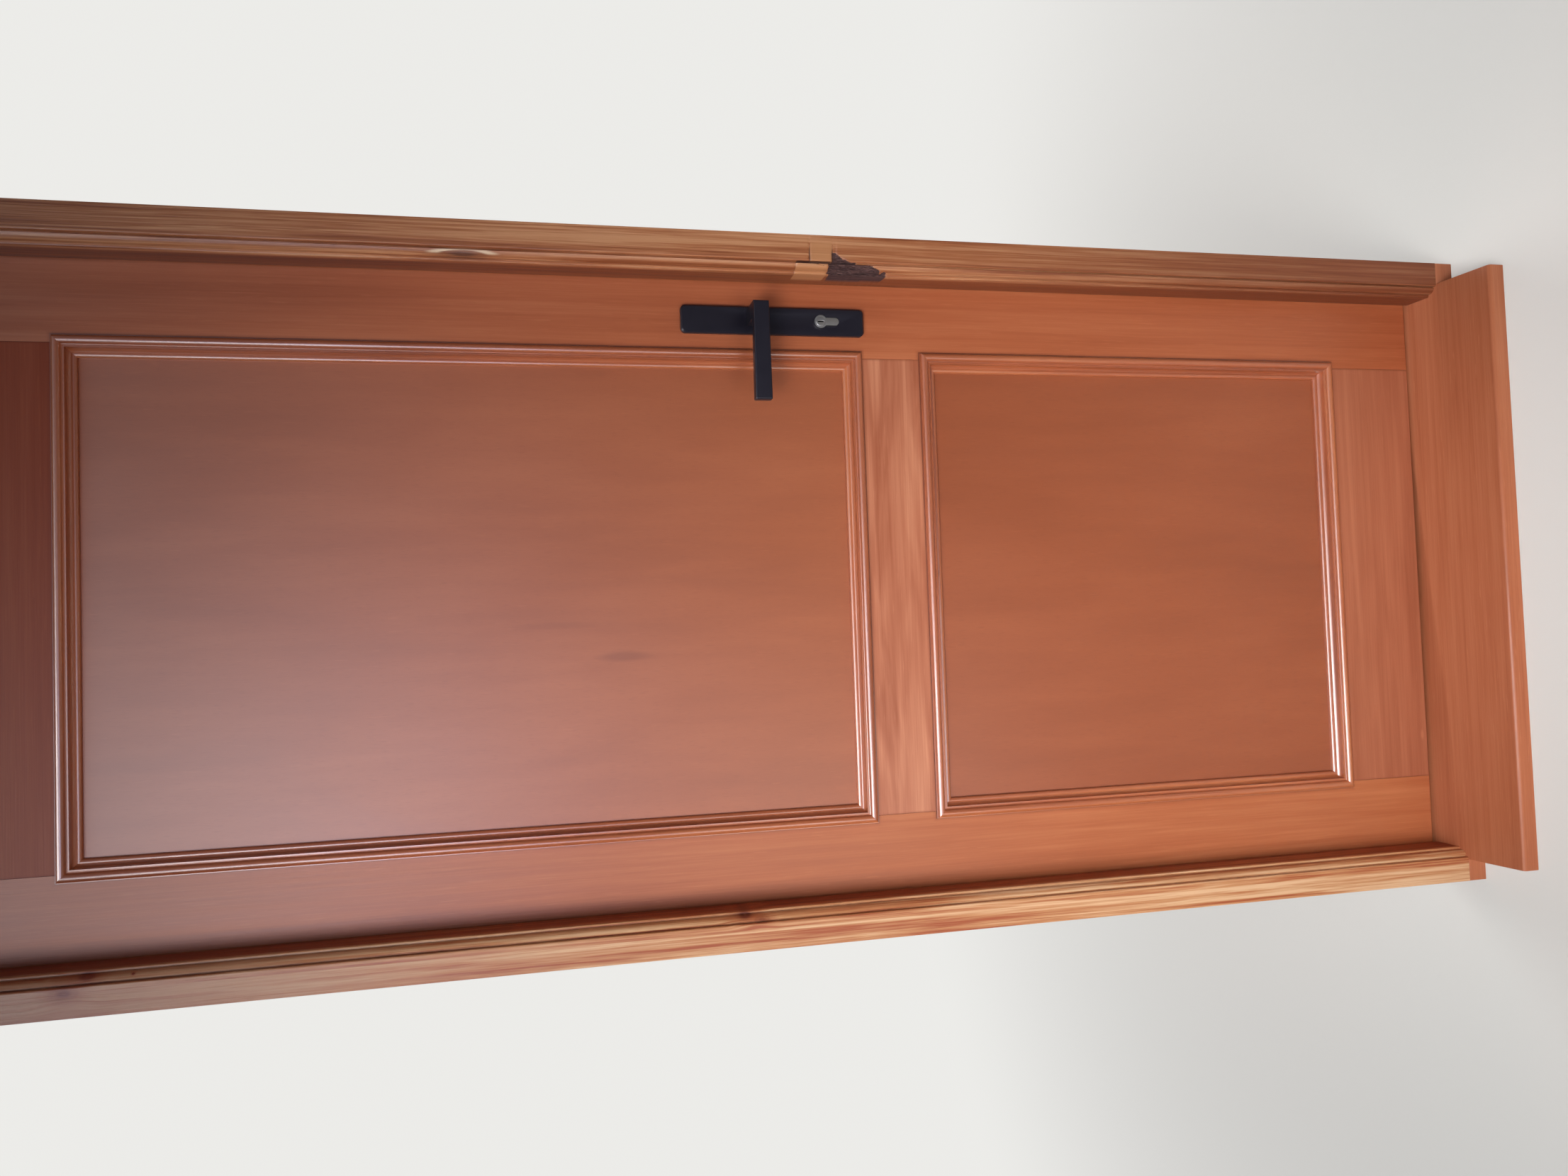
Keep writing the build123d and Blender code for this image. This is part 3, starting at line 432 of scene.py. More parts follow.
@dataclass(frozen=True)
class PanelVeneer(Wood):
    """Straight, fine-pored veneer of the flat panels under the same stain."""

    dark: Colour = (0.27, 0.066, 0.020)
    middle: Colour = (0.36, 0.094, 0.030)
    pale: Colour = (0.45, 0.130, 0.045)
    mottle: Layer = Layer(6.0, 2.4, 3.0, 0.55, 0.5)
    streaks: Layer = Layer(30.0, 4.0, 3.0, 0.55, 0.2)
    pores: Layer = Layer(700.0, 70.0, 1.0)
    glints: Layer = Layer(600.0, 45.0, 1.0)
    marks: tuple[Streak, ...] = ()
    roughness: float = 0.40
    specular: float = 0.6
    relief: float = 0.02 * MM

    def stain(self, board: Board) -> None:
        """Feeds the surface shader.

        Args:
            board: the panel.
        """
        recipe, where = board.recipe, board.recipe.where()
        mottle, streak, pores = (layer.read(board, where)
                                 for layer in (self.mottle, self.streaks, self.pores))
        glints = self.glints.read(board, where, 40)
        colour = recipe.ramp(weighed((mottle, 0.34), (streak, 0.34)),
                             (0.22, self.dark), (0.5, self.middle), (0.80, self.pale))
        colour = recipe.lay(colour, (pores.step(0.52, 0.80) * 0.30, self.dark),
                            (glints.step(0.66, 0.80) * 0.28, self.pale))
        x, _, z = recipe.place()
        for mark in self.marks:
            colour = recipe.lay(colour, (mark.share(x, z, streak - 0.5), self.dark))
        recipe.surface(
            Base_Color=colour, Roughness=(mottle - 0.5) * 0.10 + self.roughness,
            Normal=recipe.bump(1.0 - pores.step(0.56, 0.74) * 0.5, self.relief),
            Specular_IOR_Level=self.specular,
        )


@dataclass(frozen=True)
class Knot:
    """A knot on a frame member's front, with the grain bent round it."""

    across: float
    along: float
    width: float
    length: float
    rings: float = 7.0
    darkness: float = 0.9
    pale_rim: float = 0.0


@dataclass(frozen=True)
class KnottyPine(Wood):
    """Older stained pine of the frame: streaky and resinous, paler on its front, with painted shade
    on its returns.
    """

    shade: Colour = (0.17, 0.046, 0.020)
    dark: Colour = (0.26, 0.078, 0.028)
    middle: Colour = (0.41, 0.150, 0.060)
    pale: Colour = (0.60, 0.290, 0.150)
    knot_dark: Colour = (0.060, 0.022, 0.018)
    bare: Colour = (0.78, 0.58, 0.40)
    torn: Colour = (0.050, 0.022, 0.024)
    splinter: Colour = (0.15, 0.075, 0.072)
    filler: Colour = (0.50, 0.21, 0.090)
    pale_filler: Colour = (0.62, 0.31, 0.145)
    broad: Layer = Layer(26.0, 1.1, 2.0, 0.5, 1.0)
    streaks: Layer = Layer(150.0, 2.2, 4.0, 0.62, 0.8)
    fine: Layer = Layer(560.0, 12.0, 3.0, 0.6)
    front_from: float = -40.0 * MM
    painted_shade_from: float = 0.36
    painted_shade_to: float = 0.04
    painted_shade_strength: float = 0.5
    roughness: float = 0.42
    specular: float = 0.3
    relief: float = 0.7 * MM
    knots: tuple[Knot, ...] = ()
    damaged: bool = False

    def stain(self, board: Board) -> None:
        """Feeds the surface shader.

        Args:
            board: the frame's member.
        """
        recipe = board.recipe
        x, y, z = recipe.place()
        cores: list[Socket] = []
        push: Value = 0.0
        for knot in self.knots:
            side, down = (x - knot.across) / knot.width, (z - knot.along) / knot.length
            cores.append(side.across(down))
            push = side * cores[-1].step(3.2, 0.3) * (0.5 * knot.width) + push
        bent = [x, y, z + push] if board.grain is Grain.ALONG_X else [x + push, y, z]
        where = recipe.node("ShaderNodeCombineXYZ", {}, dict(enumerate(bent)))
        broad, streak, fine = (layer.read(board, where)
                               for layer in (self.broad, self.streaks, self.fine))
        tone = weighed((broad, 0.8), (streak, 1.7), (fine, 0.6))
        fray = (streak - 0.5) * 1.2 + (fine - 0.5) * 0.8
        front = y.step(self.front_from + 4.0 * MM, self.front_from)
        # The returns take a darker ramp down to the shade colour, as painted shade; the front takes
        # the paler ramp.
        shaded = recipe.ramp(tone, (0.15, self.shade), (0.60, self.dark), (1.0, self.middle))
        paler = recipe.ramp(tone, (0.22, self.dark), (0.48, self.middle), (0.74, self.pale))
        colour = recipe.lay(shaded, (front, paler))
        for knot, reach in zip(self.knots, cores):
            colour = self._knotted(recipe, colour, knot, reach, fray, x, front)
        # Painted shade: the member darkens towards the shade colour between two heights, with
        # frayed edges.
        painted_shade = (z + fray * 0.05).step(self.painted_shade_from, self.painted_shade_to) * self.painted_shade_strength
        colour = recipe.lay(colour, (painted_shade, self.shade))
        torn: Value = 0.0
        if self.damaged:
            colour, torn = self._damage(recipe, colour, streak, fine, fray)
        recipe.surface(
            Base_Color=colour, Roughness=(streak - 0.5) * 0.2 + self.roughness + torn * 0.45,
            Normal=recipe.bump(fine * 0.5 + streak * 0.5, self.relief),
            Specular_IOR_Level=self.specular,
        )

    def _knotted(self, recipe: Recipe, colour: Socket, knot: Knot, reach: Socket, fray: Socket,
                 x: Socket, front: Socket) -> Socket:
        """Lays one knot over the colour.

        Args:
            recipe: the member's material.
            colour: the wood's colour so far.
            knot: the knot.
            reach: the distance from the knot's middle, in its own sizes.
            fray: noise that frays the knot's edges.
            x: the across coordinate.
            front: 1 on the paler front.

        Returns:
            The new colour.
        """
        turns = (reach + fray * 0.25) * knot.rings
        rings = turns.sine() * 0.5 + 0.5
        core = (reach + fray * 0.4).step(1.15, 0.55) * (rings * 0.55 + 0.45)
        halo = (reach + fray * 0.3).step(2.3, 0.9) * 0.45
        colour = recipe.lay(colour, (halo, self.dark), (core * knot.darkness, self.knot_dark))
        if knot.pale_rim:
            rim = reach + fray * 0.5
            far_side = (x - knot.across).step(-0.2 * knot.width, 0.4 * knot.width)
            paler = rim.step(0.75, 1.05) * rim.step(1.55, 1.15) * far_side
            colour = recipe.lay(colour, (paler * knot.pale_rim * front, self.bare))
        return colour

    def _damage(self, recipe: Recipe, colour: Socket, streak: Socket, fine: Socket,
                fray: Socket) -> tuple[Socket, Socket]:
        """Lays the filler, the torn wood and the cracks over the colour.

        Args:
            recipe: the member's material.
            colour: the wood's colour so far.
            streak: the streaks' noise.
            fine: the fine noise.
            fray: noise that frays the edges.

        Returns:
            The new colour, and how torn the wood is.
        """
        torn, filler, crack = (
            recipe.node("ShaderNodeAttribute", {"attribute_name": mark}, out="Fac")
            for mark in DAMAGE_MARKS)
        filled = (filler + fray * 0.10).step(0.35, 0.55) * 0.8
        torn = (torn + fray * 0.45).step(0.30, 0.62)
        cracked = (crack + fray * 0.2).step(0.45, 0.8) * 0.85
        putty = recipe.lay(self.filler, (streak, self.pale_filler))
        ragged = recipe.lay(self.torn, (fine.step(0.50, 0.72), self.splinter))
        colour = recipe.lay(colour, (filled, putty), (torn * 0.96, ragged),
                            (cracked, self.knot_dark))
        return colour, torn


@dataclass(frozen=True)
class Coating:
    """A plain hard finish with a very fine grain in its surface."""

    colour: Colour
    roughness: float
    metallic: float = 0.0
    spread: float = 0.15
    speckle: Layer = Layer(1800.0, 1800.0, 2.0)
    cloud: Layer = Layer(54.0, 54.0, 2.0)
    relief: float = 0.03 * MM
    specular: float = 0.5
    hollow_shade_from: float | None = None
    hollow_shade: Colour = (0.01, 0.01, 0.01)

    def make(self, name: str) -> bpy.types.Material:
        """Builds the material.

        Args:
            name: the material's name.

        Returns:
            The material.
        """
        recipe = Recipe(name)
        block = Board(recipe, Grain.ALONG_Z, 0)
        cloud, speckle = (layer.read(block, recipe.where())
                          for layer in (self.cloud, self.speckle))
        darker, lighter = (tuple(channel * (1.0 + sign * self.spread) for channel in self.colour)
                           for sign in (-1.0, 1.0))
        colour = recipe.lay(darker, (cloud * 0.6 + speckle * 0.4, lighter))
        # Painted shade: behind the given depth the colour turns near black, as in the plug's
        # keyway.
        if self.hollow_shade_from is not None:
            inside = recipe.place()[1].step(self.hollow_shade_from, self.hollow_shade_from + 1.5 * MM)
            colour = recipe.lay(colour, (inside, self.hollow_shade))
        recipe.surface(
            Base_Color=colour, Roughness=(cloud - 0.5) * 0.12 + self.roughness,
            Metallic=self.metallic, Normal=recipe.bump(speckle, self.relief),
            Specular_IOR_Level=self.specular,
        )
        return recipe.material


BLACK_COATING = Coating((0.0105, 0.0090, 0.0170), 0.38, specular=0.30)
NICKEL = Coating((0.52, 0.50, 0.47), 0.30, 1.0, 0.10)
HINGE_STEEL = Coating((0.55, 0.55, 0.54), 0.34, 1.0, 0.10)
PLAIN_STEEL = Coating((0.42, 0.42, 0.42), 0.40, 1.0, 0.12)
SEAL_RUBBER = Coating((0.030, 0.029, 0.028), 0.62, 0.0, 0.2, Layer(900.0, 900.0, 2.0),
                      Layer(27.0, 27.0, 2.0), 0.1 * MM)
WASHER_PLASTIC = Coating((0.62, 0.60, 0.56), 0.45)


# Shaping

class Bench:
    """A new piece in edit mode, shaped with Blender's own operators."""

    def __init__(self, name: str, low: Triple, high: Triple) -> None:
        """Starts from a block between two corners.

        Args:
            name: the piece's name.
            low: the lowest corner in metres.
            high: the highest corner in metres.
        """
        bpy.ops.object.select_all(action="DESELECT")
        middle = [(a + b) / 2 for a, b in zip(low, high)]
        size = [b - a for a, b in zip(low, high)]
        bpy.ops.mesh.primitive_cube_add(size=1.0, location=middle, scale=size)
        self.piece = bpy.context.object
        self.piece.name = self.piece.data.name = name
        bpy.ops.object.transform_apply(location=True, rotation=True, scale=True)
        bpy.ops.object.mode_set(mode="EDIT")

    @classmethod
    def around(cls, piece: bpy.types.Object) -> "Bench":
        """Takes an existing piece onto the bench.

        Args:
            piece: the piece, which sits at the origin.

        Returns:
            The bench with the piece in edit mode.
        """
        bench = cls.__new__(cls)
        bench.piece = piece
        only(piece)
        bpy.ops.object.mode_set(mode="EDIT")
        return bench

    def pick(self, kind: str, test: Callable[[Vector, Vector], bool]) -> None:
        """Selects vertices, edges or faces by place.

        Args:
            kind: "VERT", "EDGE" or "FACE".
            test: takes the element's middle and normal and says whether it is selected.
        """
        bpy.ops.mesh.select_mode(type=kind)
        bpy.ops.mesh.select_all(action="DESELECT")
        mesh = bmesh.from_edit_mesh(self.piece.data)
        if kind == "VERT":
            found = [(vertex, vertex.co, vertex.normal) for vertex in mesh.verts]
        elif kind == "EDGE":
            ends = [(edge, *(vertex.co for vertex in edge.verts)) for edge in mesh.edges]
            found = [(edge, (a + b) / 2, (b - a).normalized()) for edge, a, b in ends]
        else:
            found = [(face, face.calc_center_median(), face.normal) for face in mesh.faces]
        for element, place, normal in found:
            element.select = test(place, normal)
        mesh.select_flush_mode()
        bmesh.update_edit_mesh(self.piece.data)

    def cut(self, point: Triple, normal: Triple, remove_outer: bool = False) -> None:
        """Cuts all of the piece with a plane.

        Args:
            point: a point of the plane.
            normal: the plane's normal.
            remove_outer: takes away what lies on the normal's side and closes the cut.
        """
        bpy.ops.mesh.select_all(action="SELECT")
        bpy.ops.mesh.bisect(plane_co=point, plane_no=normal, use_fill=remove_outer,
                            clear_outer=remove_outer, threshold=TINY)

    def done(self, smooth_angle: float = SMOOTH_ANGLE) -> bpy.types.Object:
        """Leaves edit mode with the normals outwards and the curves smooth.

        Args:
            smooth_angle: edges sharper than this stay sharp, in degrees.

        Returns:
            The piece.
        """
        bpy.ops.mesh.select_all(action="SELECT")
        bpy.ops.mesh.remove_doubles(threshold=TINY)
        bpy.ops.mesh.normals_make_consistent(inside=False)
        bpy.ops.object.mode_set(mode="OBJECT")
        smooth(self.piece, smooth_angle)
        return self.piece


def only(piece: bpy.types.Object) -> None:
    """Selects one piece and nothing else."""
    bpy.ops.object.select_all(action="DESELECT")
    piece.select_set(True)
    bpy.context.view_layer.objects.active = piece


def smooth(piece: bpy.types.Object, angle: float) -> None:
    """Shades a piece smooth up to an angle in degrees."""
    only(piece)
    bpy.ops.object.shade_smooth_by_angle(angle=math.radians(angle))


def dress(piece: bpy.types.Object, material: bpy.types.Material) -> None:
    """Gives a piece one material all over."""
    piece.data.materials.clear()
    piece.data.materials.append(material)


def copied(piece: bpy.types.Object, name: str) -> bpy.types.Object:
    """A copy with its own mesh.

    Args:
        piece: the piece to copy.
        name: the copy's name.

    Returns:
        The copy, linked to the scene.
    """
    twin = piece.copy()
    twin.data = piece.data.copy()
    twin.name = twin.data.name = name
    bpy.context.scene.collection.objects.link(twin)
    return twin


def carried_over(node: str, name: str, bevel: float = 0.0, segments: int = 2) -> bpy.types.Object:
    """A merged copy of a CAD node with its sharp edges eased.

    Args:
        node: the CAD node.
        name: the new piece's name.
        bevel: the width of the easing in metres; 0 leaves the edges sharp.
        segments: faces across the easing.

    Returns:
        The new piece.
    """
    twin = copied(frame["nodes"][node], name)
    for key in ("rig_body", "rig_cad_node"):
        if key in twin:
            del twin[key]
    twin.parent = None
    twin.matrix_world = Matrix.Identity(4)
    only(twin)
    bpy.ops.mesh.customdata_custom_splitnormals_clear()
    bpy.ops.object.mode_set(mode="EDIT")
    bpy.ops.mesh.select_all(action="SELECT")
    bpy.ops.mesh.remove_doubles(threshold=2 * TINY)
    bpy.ops.mesh.dissolve_limited(angle_limit=math.radians(FLAT_ANGLE))
    bpy.ops.object.mode_set(mode="OBJECT")
    if bevel:
        easing = twin.modifiers.new("easing", "BEVEL")
        easing.width = bevel
        easing.segments = segments
        easing.limit_method = "ANGLE"
        easing.angle_limit = math.radians(SHARP_ANGLE)
        bpy.ops.object.modifier_apply(modifier=easing.name)
    smooth(twin, SMOOTH_ANGLE)
    return twin


def settle(piece: bpy.types.Object, material: bpy.types.Material, node: str) -> None:
    """Dresses a new piece and makes it ride and stand for its CAD node.

    Args:
        piece: the new piece.
        material: its finish.
        node: the CAD node that it stands for, whose body it rides on.
    """
    body = frame["nodes"][node]["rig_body"]
    dress(piece, material)
    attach(piece, body)
    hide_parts(node)
    log.info("%s rides on %s", piece.name, body)


# Sub-assemblies

def arc(start: Pair, end: Pair, rise: float, steps: int) -> list[Pair]:
    """Points of a circular arc from start to end, without the start.

    Args:
        start: the first point.
        end: the last point.
        rise: how far the arc's middle stands off the chord on the left, less than half of it.
        steps: how many points.

    Returns:
        The points.
    """
    chord = Vector(end) - Vector(start)
    half = chord.length / 2
    radius = (half * half + rise * rise) / (2 * abs(rise))
    side = math.copysign(1.0, rise)
    left = Vector((-chord.y, chord.x)).normalized() * side
    centre = (Vector(start) + Vector(end)) / 2 + left * (abs(rise) - radius)
    first = Vector(start) - centre
    turn = -side * 2 * math.asin(min(1.0, half / radius))
    return [tuple(centre + Matrix.Rotation(turn * step / steps, 2) @ first)
            for step in range(1, steps + 1)]


@dataclass
class PanelMouldings:
    """The mitred strips round both panels, outside and inside, all cut from one long stick."""

    lap: float = 9.0 * MM
    reach: float = 15.5 * MM
    recess: float = 12.0 * MM
    crest: float = 8.0 * MM
    half_width: float = 303.0 * MM
    leaf_thickness: float = 58.0 * MM
    stick_length: float = 1.1
    finish: StainedBoard = StainedBoard(
        dark=(0.26, 0.062, 0.022), pale=(0.56, 0.190, 0.070), figure=0.7,
        broad=Layer(40.0, 0.9, 2.0, 0.5, 0.6), dashes=0.15, roughness=0.29, specular=1.0)
    openings: dict[str, Pair] = field(default_factory=lambda: {
        "upper": (896.0 * MM, 1845.0 * MM), "lower": (174.0 * MM, 797.0 * MM)})

    def profile(self) -> list[Pair]:
        """The moulded face from the lap to the panel, as distance into the opening and height.

        Returns:
            The points in metres.
        """
        left = (-8.0, 2.5)
        right = (2.0, 3.5)
        points = [(-9.0, 2.5), left]
        points += arc(left, right, 4.95, 12)
        points += arc(right, (4.0, 3.2), -0.9, 4)
        points += [(5.6, 3.2), (5.75, 2.2)]
        points += arc((5.75, 2.2), (9.5, -6.6), -1.5, 7)
        points += arc((9.5, -6.6), (15.5, -9.6), 1.8, 8)
        rising = [points[0]]
        for x, y in points[1:]:
            rising.append((max(x, rising[-1][0] + 0.04), y))
        return [(x * MM, y * MM) for x, y in rising]

    def stick(self) -> bpy.types.Object:
        """One long moulded stick: X runs into the opening, Y stands out and Z is its length.

        Returns:
            The stick.
        """
        end = self.stick_length / 2
        bench = Bench("moulding_stick", (0.0, -self.recess, -end), (self.reach, self.crest, end))
        bench.cut((0.0, 0.0, 0.0), (0.0, 1.0, 0.0))
        bench.pick("FACE", lambda place, normal: normal.x < -0.9 and place.y > 0.0)
        bpy.ops.mesh.extrude_region_move(TRANSFORM_OT_translate={"value": (-self.lap, 0.0, 0.0)})
        loose = ((self.reach, 0.0), (0.0, self.crest))
        bench.pick("EDGE", lambda place, along: abs(along.z) > 0.9 and any(
            math.dist(place[:2], spot) < 10 * TINY for spot in loose))
        bpy.ops.mesh.dissolve_edges()
        points = self.profile()
        for x, _ in points[1:-1]:
            bench.cut((x, 0.0, 0.0), (1.0, 0.0, 0.0))
        for x, height in points:
            bench.pick("VERT", lambda place, _: abs(place.x - x) < 20 * TINY
                       and abs(place.y - self.crest) < TINY)
            bpy.ops.transform.translate(value=(0.0, height - self.crest, 0.0))
        return bench.done(MOULDING_ANGLE)

    def strip(self, stick: bpy.types.Object, name: str, corner: Triple, into: Triple,
              outward: Triple, half_side: float) -> bpy.types.Object:
        """Cuts one strip to length with mitred ends and puts it in its place.

        Args:
            stick: the long stick.
            name: the strip's name.
            corner: the middle of the opening's side.
            into: the direction into the opening.
            outward: the direction out of the leaf's face.
            half_side: half the length of the opening's side.

        Returns:
            The strip.
        """
        piece = copied(stick, name)
        bench = Bench.around(piece)
        for side in (-1.0, 1.0):
            bench.cut((0.0, 0.0, side * half_side), (1.0, 0.0, side), remove_outer=True)
        bench.done(MOULDING_ANGLE)
        x_axis, y_axis = Vector(into), Vector(outward)
        turn = Matrix((x_axis, y_axis, x_axis.cross(y_axis))).transposed().to_4x4()
        piece.data.transform(Matrix.Translation(corner) @ turn)
        return piece

    def build(self) -> None:
        """Makes all sixteen strips."""
        stick = self.stick()
        upright = self.finish.make("moulding_upright", Grain.ALONG_Z, 60)
        level = self.finish.make("moulding_level", Grain.ALONG_X, 61)
        for name, (low, high) in self.openings.items():
            middle, half_height = (low + high) / 2, (high - low) / 2
            sides = {
                "top": ((0.0, high), (0.0, 0.0, -1.0), self.half_width),
                "bottom": ((0.0, low), (0.0, 0.0, 1.0), self.half_width),
                "left": ((-self.half_width, middle), (1.0, 0.0, 0.0), half_height),
                "right": ((self.half_width, middle), (-1.0, 0.0, 0.0), half_height),
            }
            for face, y, out in (("outer", 0.0, -1.0), ("inner", self.leaf_thickness, 1.0)):
                for side, ((x, z), into, half_side) in sides.items():
                    node = f"{name}_{face}_moulding_{side}"
                    piece = self.strip(stick, f"{node}_strip", (x, y, z), into,
                                       (0.0, out, 0.0), half_side)
                    material = level if side in ("top", "bottom") else upright
                    settle(piece, material, node)
        bpy.data.objects.remove(stick)


@dataclass
class Leaf:
    """Stiles, rails and panels of the door leaf."""

    lock_stile: StainedBoard = StainedBoard()
    hinge_stile: StainedBoard = StainedBoard(
        dark=(0.335, 0.084, 0.028), middle=(0.44, 0.126, 0.046), pale=(0.55, 0.188, 0.076))
    # The top rail's darker colours are partly the wood's own and partly painted shade at the top of
    # the leaf.
    top_rail: StainedBoard = StainedBoard(
        dark=(0.25, 0.044, 0.015), middle=(0.32, 0.064, 0.023), pale=(0.40, 0.098, 0.036),
        seams=True, specular=0.15)
    mid_rail: StainedBoard = StainedBoard(
        dark=(0.35, 0.098, 0.044), middle=(0.46, 0.155, 0.080), pale=(0.62, 0.255, 0.142),
        seams=True, figure=1.0, broad=Layer(30.0, 3.2, 2.0, 0.5, 1.4),
        streaks=Layer(95.0, 2.2, 3.0, 0.6, 0.98))
    bottom_rail: StainedBoard = StainedBoard(
        dark=(0.32, 0.090, 0.040), middle=(0.41, 0.130, 0.064), pale=(0.52, 0.185, 0.095),
        seams=True, figure=0.8, broad=Layer(14.0, 1.6, 2.0, 0.5, 1.0),
        streaks=Layer(95.0, 2.2, 3.0, 0.6, 0.70),
        knots=(Streak(-0.242, 0.040, 0.010, 0.0045, 0.9),))
    upper_panel: PanelVeneer = PanelVeneer(marks=(
        Streak(-0.081, 1.212, 0.009, 0.045, 0.85), Streak(-0.040, 1.300, 0.006, 0.060, 0.35)))
    lower_panel: PanelVeneer = PanelVeneer(
        dark=(0.24, 0.056, 0.016), middle=(0.32, 0.078, 0.024), pale=(0.41, 0.110, 0.037))

    def build(self) -> None:
        """Dresses the leaf's boards, each with its own stretch of grain."""
        boards = ("hinge_stile", "lock_stile", "top_rail", "mid_rail", "bottom_rail",
                  "upper_panel", "lower_panel")
        for number, node in enumerate(boards, 1):
            grain = Grain.ALONG_X if node.endswith("rail") else Grain.ALONG_Z
            finish = getattr(self, node)
            dress(frame["nodes"][node], finish.make(f"{node}_wood", grain, number))
            log.info("dressed %s", node)


def soft_step(value: float, low: float, high: float) -> float:
    """A smooth step from 0 at low to 1 at high, which falls where high lies below low."""
    share = min(1.0, max(0.0, (value - low) / (high - low)))
    return share * share * (3 - 2 * share)


def inside(value: float, *edges: Pair) -> float:
    """How far a value is inside all the edges, from 0 to 1."""
    return math.prod(soft_step(value, *edge) for edge in edges)


@dataclass
class TornPatch:
    """The torn and filled place on the front of the lock side's upright.

    A pair is where a soft step starts and where it has reached 1, in metres. A side that grows
    has its first place and how far it moves; a crack has its height and half its width.
    """

    low: float = 0.855
    high: float = 1.010
    row: float = 0.0016
    columns: tuple[float, ...] = (0.4012, 0.4025, 0.405, 0.4075, 0.4095, 0.4145, 0.4165, 0.4185,
                                  0.4205, 0.4225, 0.4245)
    front: float = -0.0405
    outer: float = 0.4255
    tear_foot: Pair = (0.884, 0.893)
    tear_top: Pair = (0.945, 0.940)
    tear_side: Pair = (0.4125, 0.4105)
    tail: tuple[Pair, Pair] = ((0.860, 0.866), (0.895, 0.890))
    tail_grows: Pair = (0.860, 0.892)
    tail_side: Pair = (0.4020, 0.0095)
    wedge: tuple[Pair, Pair] = ((0.902, 0.908), (0.940, 0.938))
    wedge_grows: Pair = (0.908, 0.938)
    wedge_side: Pair = (0.4125, 0.011)
    square: tuple[Pair, Pair] = ((0.9385, 0.9400), (0.9690, 0.9675))
    square_side: Pair = (0.4118, 0.4124)
    lobe: tuple[Pair, Pair] = ((0.9425, 0.9445), (0.9870, 0.9845))
    lobe_side: Pair = (0.4110, 0.4100)
    square_cracks: tuple[Pair, Pair] = ((0.9688, 0.0022), (0.9388, 0.0026))
    lobe_crack: Pair = (0.9868, 0.0016)
    bow: Triple = (0.4105, 0.9575, 2476.19)
    bow_width: float = 2.2 * MM
    joint: Pair = (0.4115, 0.0012)
    joint_reach: Pair = (0.940, 0.985)
    sunk_tear: float = 3.4 * MM
    sunk_crack: float = 1.2 * MM
    raised_filler: float = 0.5 * MM
    slant: float = 0.35

    def torn(self, x: float, z: float) -> float:
        """How torn the wood is, from 0 to 1."""
        ragged = noise.noise(Vector((x * 400, 0.0, z * 160))) * 0.0035
        body = (soft_step(z + ragged, *self.tear_foot) * soft_step(z - ragged, *self.tear_top)
                * soft_step(x + 0.4 * ragged, *self.tear_side))
        side = self.tail_side[0] + self.tail_side[1] * soft_step(z, *self.tail_grows)
        tail = inside(z, *self.tail) * soft_step(x + ragged, side + 0.5 * MM, side - 0.5 * MM)
        ridge = self.wedge_side[0] + self.wedge_side[1] * soft_step(z, *self.wedge_grows) ** 2
        fray = 0.3 * ragged
        wedge = inside(z, *self.wedge) * soft_step(x + fray, ridge + 0.8 * MM, ridge - 0.8 * MM)
        return max(body, tail * 0.9, wedge)

    def filler(self, x: float, z: float) -> float:
        """How far the wood here is filler, from 0 to 1."""
        return max(soft_step(x, *self.square_side) * inside(z, *self.square),
                   soft_step(x, *self.lobe_side) * inside(z, *self.lobe))

    def crack(self, x: float, z: float) -> float:
        """How near a crack is, from 0 to 1."""
        if x > 0.411:
            cracks = self.square_cracks
        else:
            middle, crest, sag = self.bow
            cracks = ((crest - sag * (x - middle) ** 2, self.bow_width), self.lobe_crack)
        near = max(0.0, *(1 - abs(z - height) / width for height, width in cracks))
        (middle, reach), (low, high) = self.joint, self.joint_reach
        return max(near, 0.8) if abs(x - middle) < reach and low < z < high else near

    def apply(self, piece: bpy.types.Object) -> None:
        """Cuts a fine grid into the upright's front and sinks the torn wood and the cracks.

        Args:
            piece: the upright.
        """
        bench = Bench.around(piece)
        rows = int((self.high - self.low) / self.row)
        for row in range(rows + 1):
            bench.cut((0.0, 0.0, self.low + row * self.row), (0.0, 0.0, 1.0))
        for x in self.columns:
            bench.pick("FACE", lambda place, _: self.low < place.z < self.high)
            bpy.ops.mesh.bisect(plane_co=(x, 0.0, 0.0), plane_no=(1.0, 0.0, 0.0), threshold=TINY)
        bpy.ops.object.mode_set(mode="OBJECT")
        attributes = piece.data.attributes
        for name in DAMAGE_MARKS:
            attributes.new(name, "FLOAT", "POINT")
        marks = [attributes[name].data for name in DAMAGE_MARKS]
        for vertex in piece.data.vertices:
            x, y, z = vertex.co
            if not (self.low < z < self.high and y < self.front and x < self.outer):
                continue
            values = self.torn(x, z), self.filler(x, z), self.crack(x, z)
            for mark, value in zip(marks, values):
                mark[vertex.index].value = value
            torn, filler, crack = values
            splinter = 0.6 + 0.8 * noise.noise(Vector((x * 900, 3.0, z * 220)))
            depth = torn * self.sunk_tear * splinter + crack * self.sunk_crack
            depth = max(-self.raised_filler, depth - filler * self.raised_filler)
            vertex.co = (x + self.slant * max(0.0, depth), y + depth, z)
        piece.data.update()
        smooth(piece, DAMAGE_ANGLE)


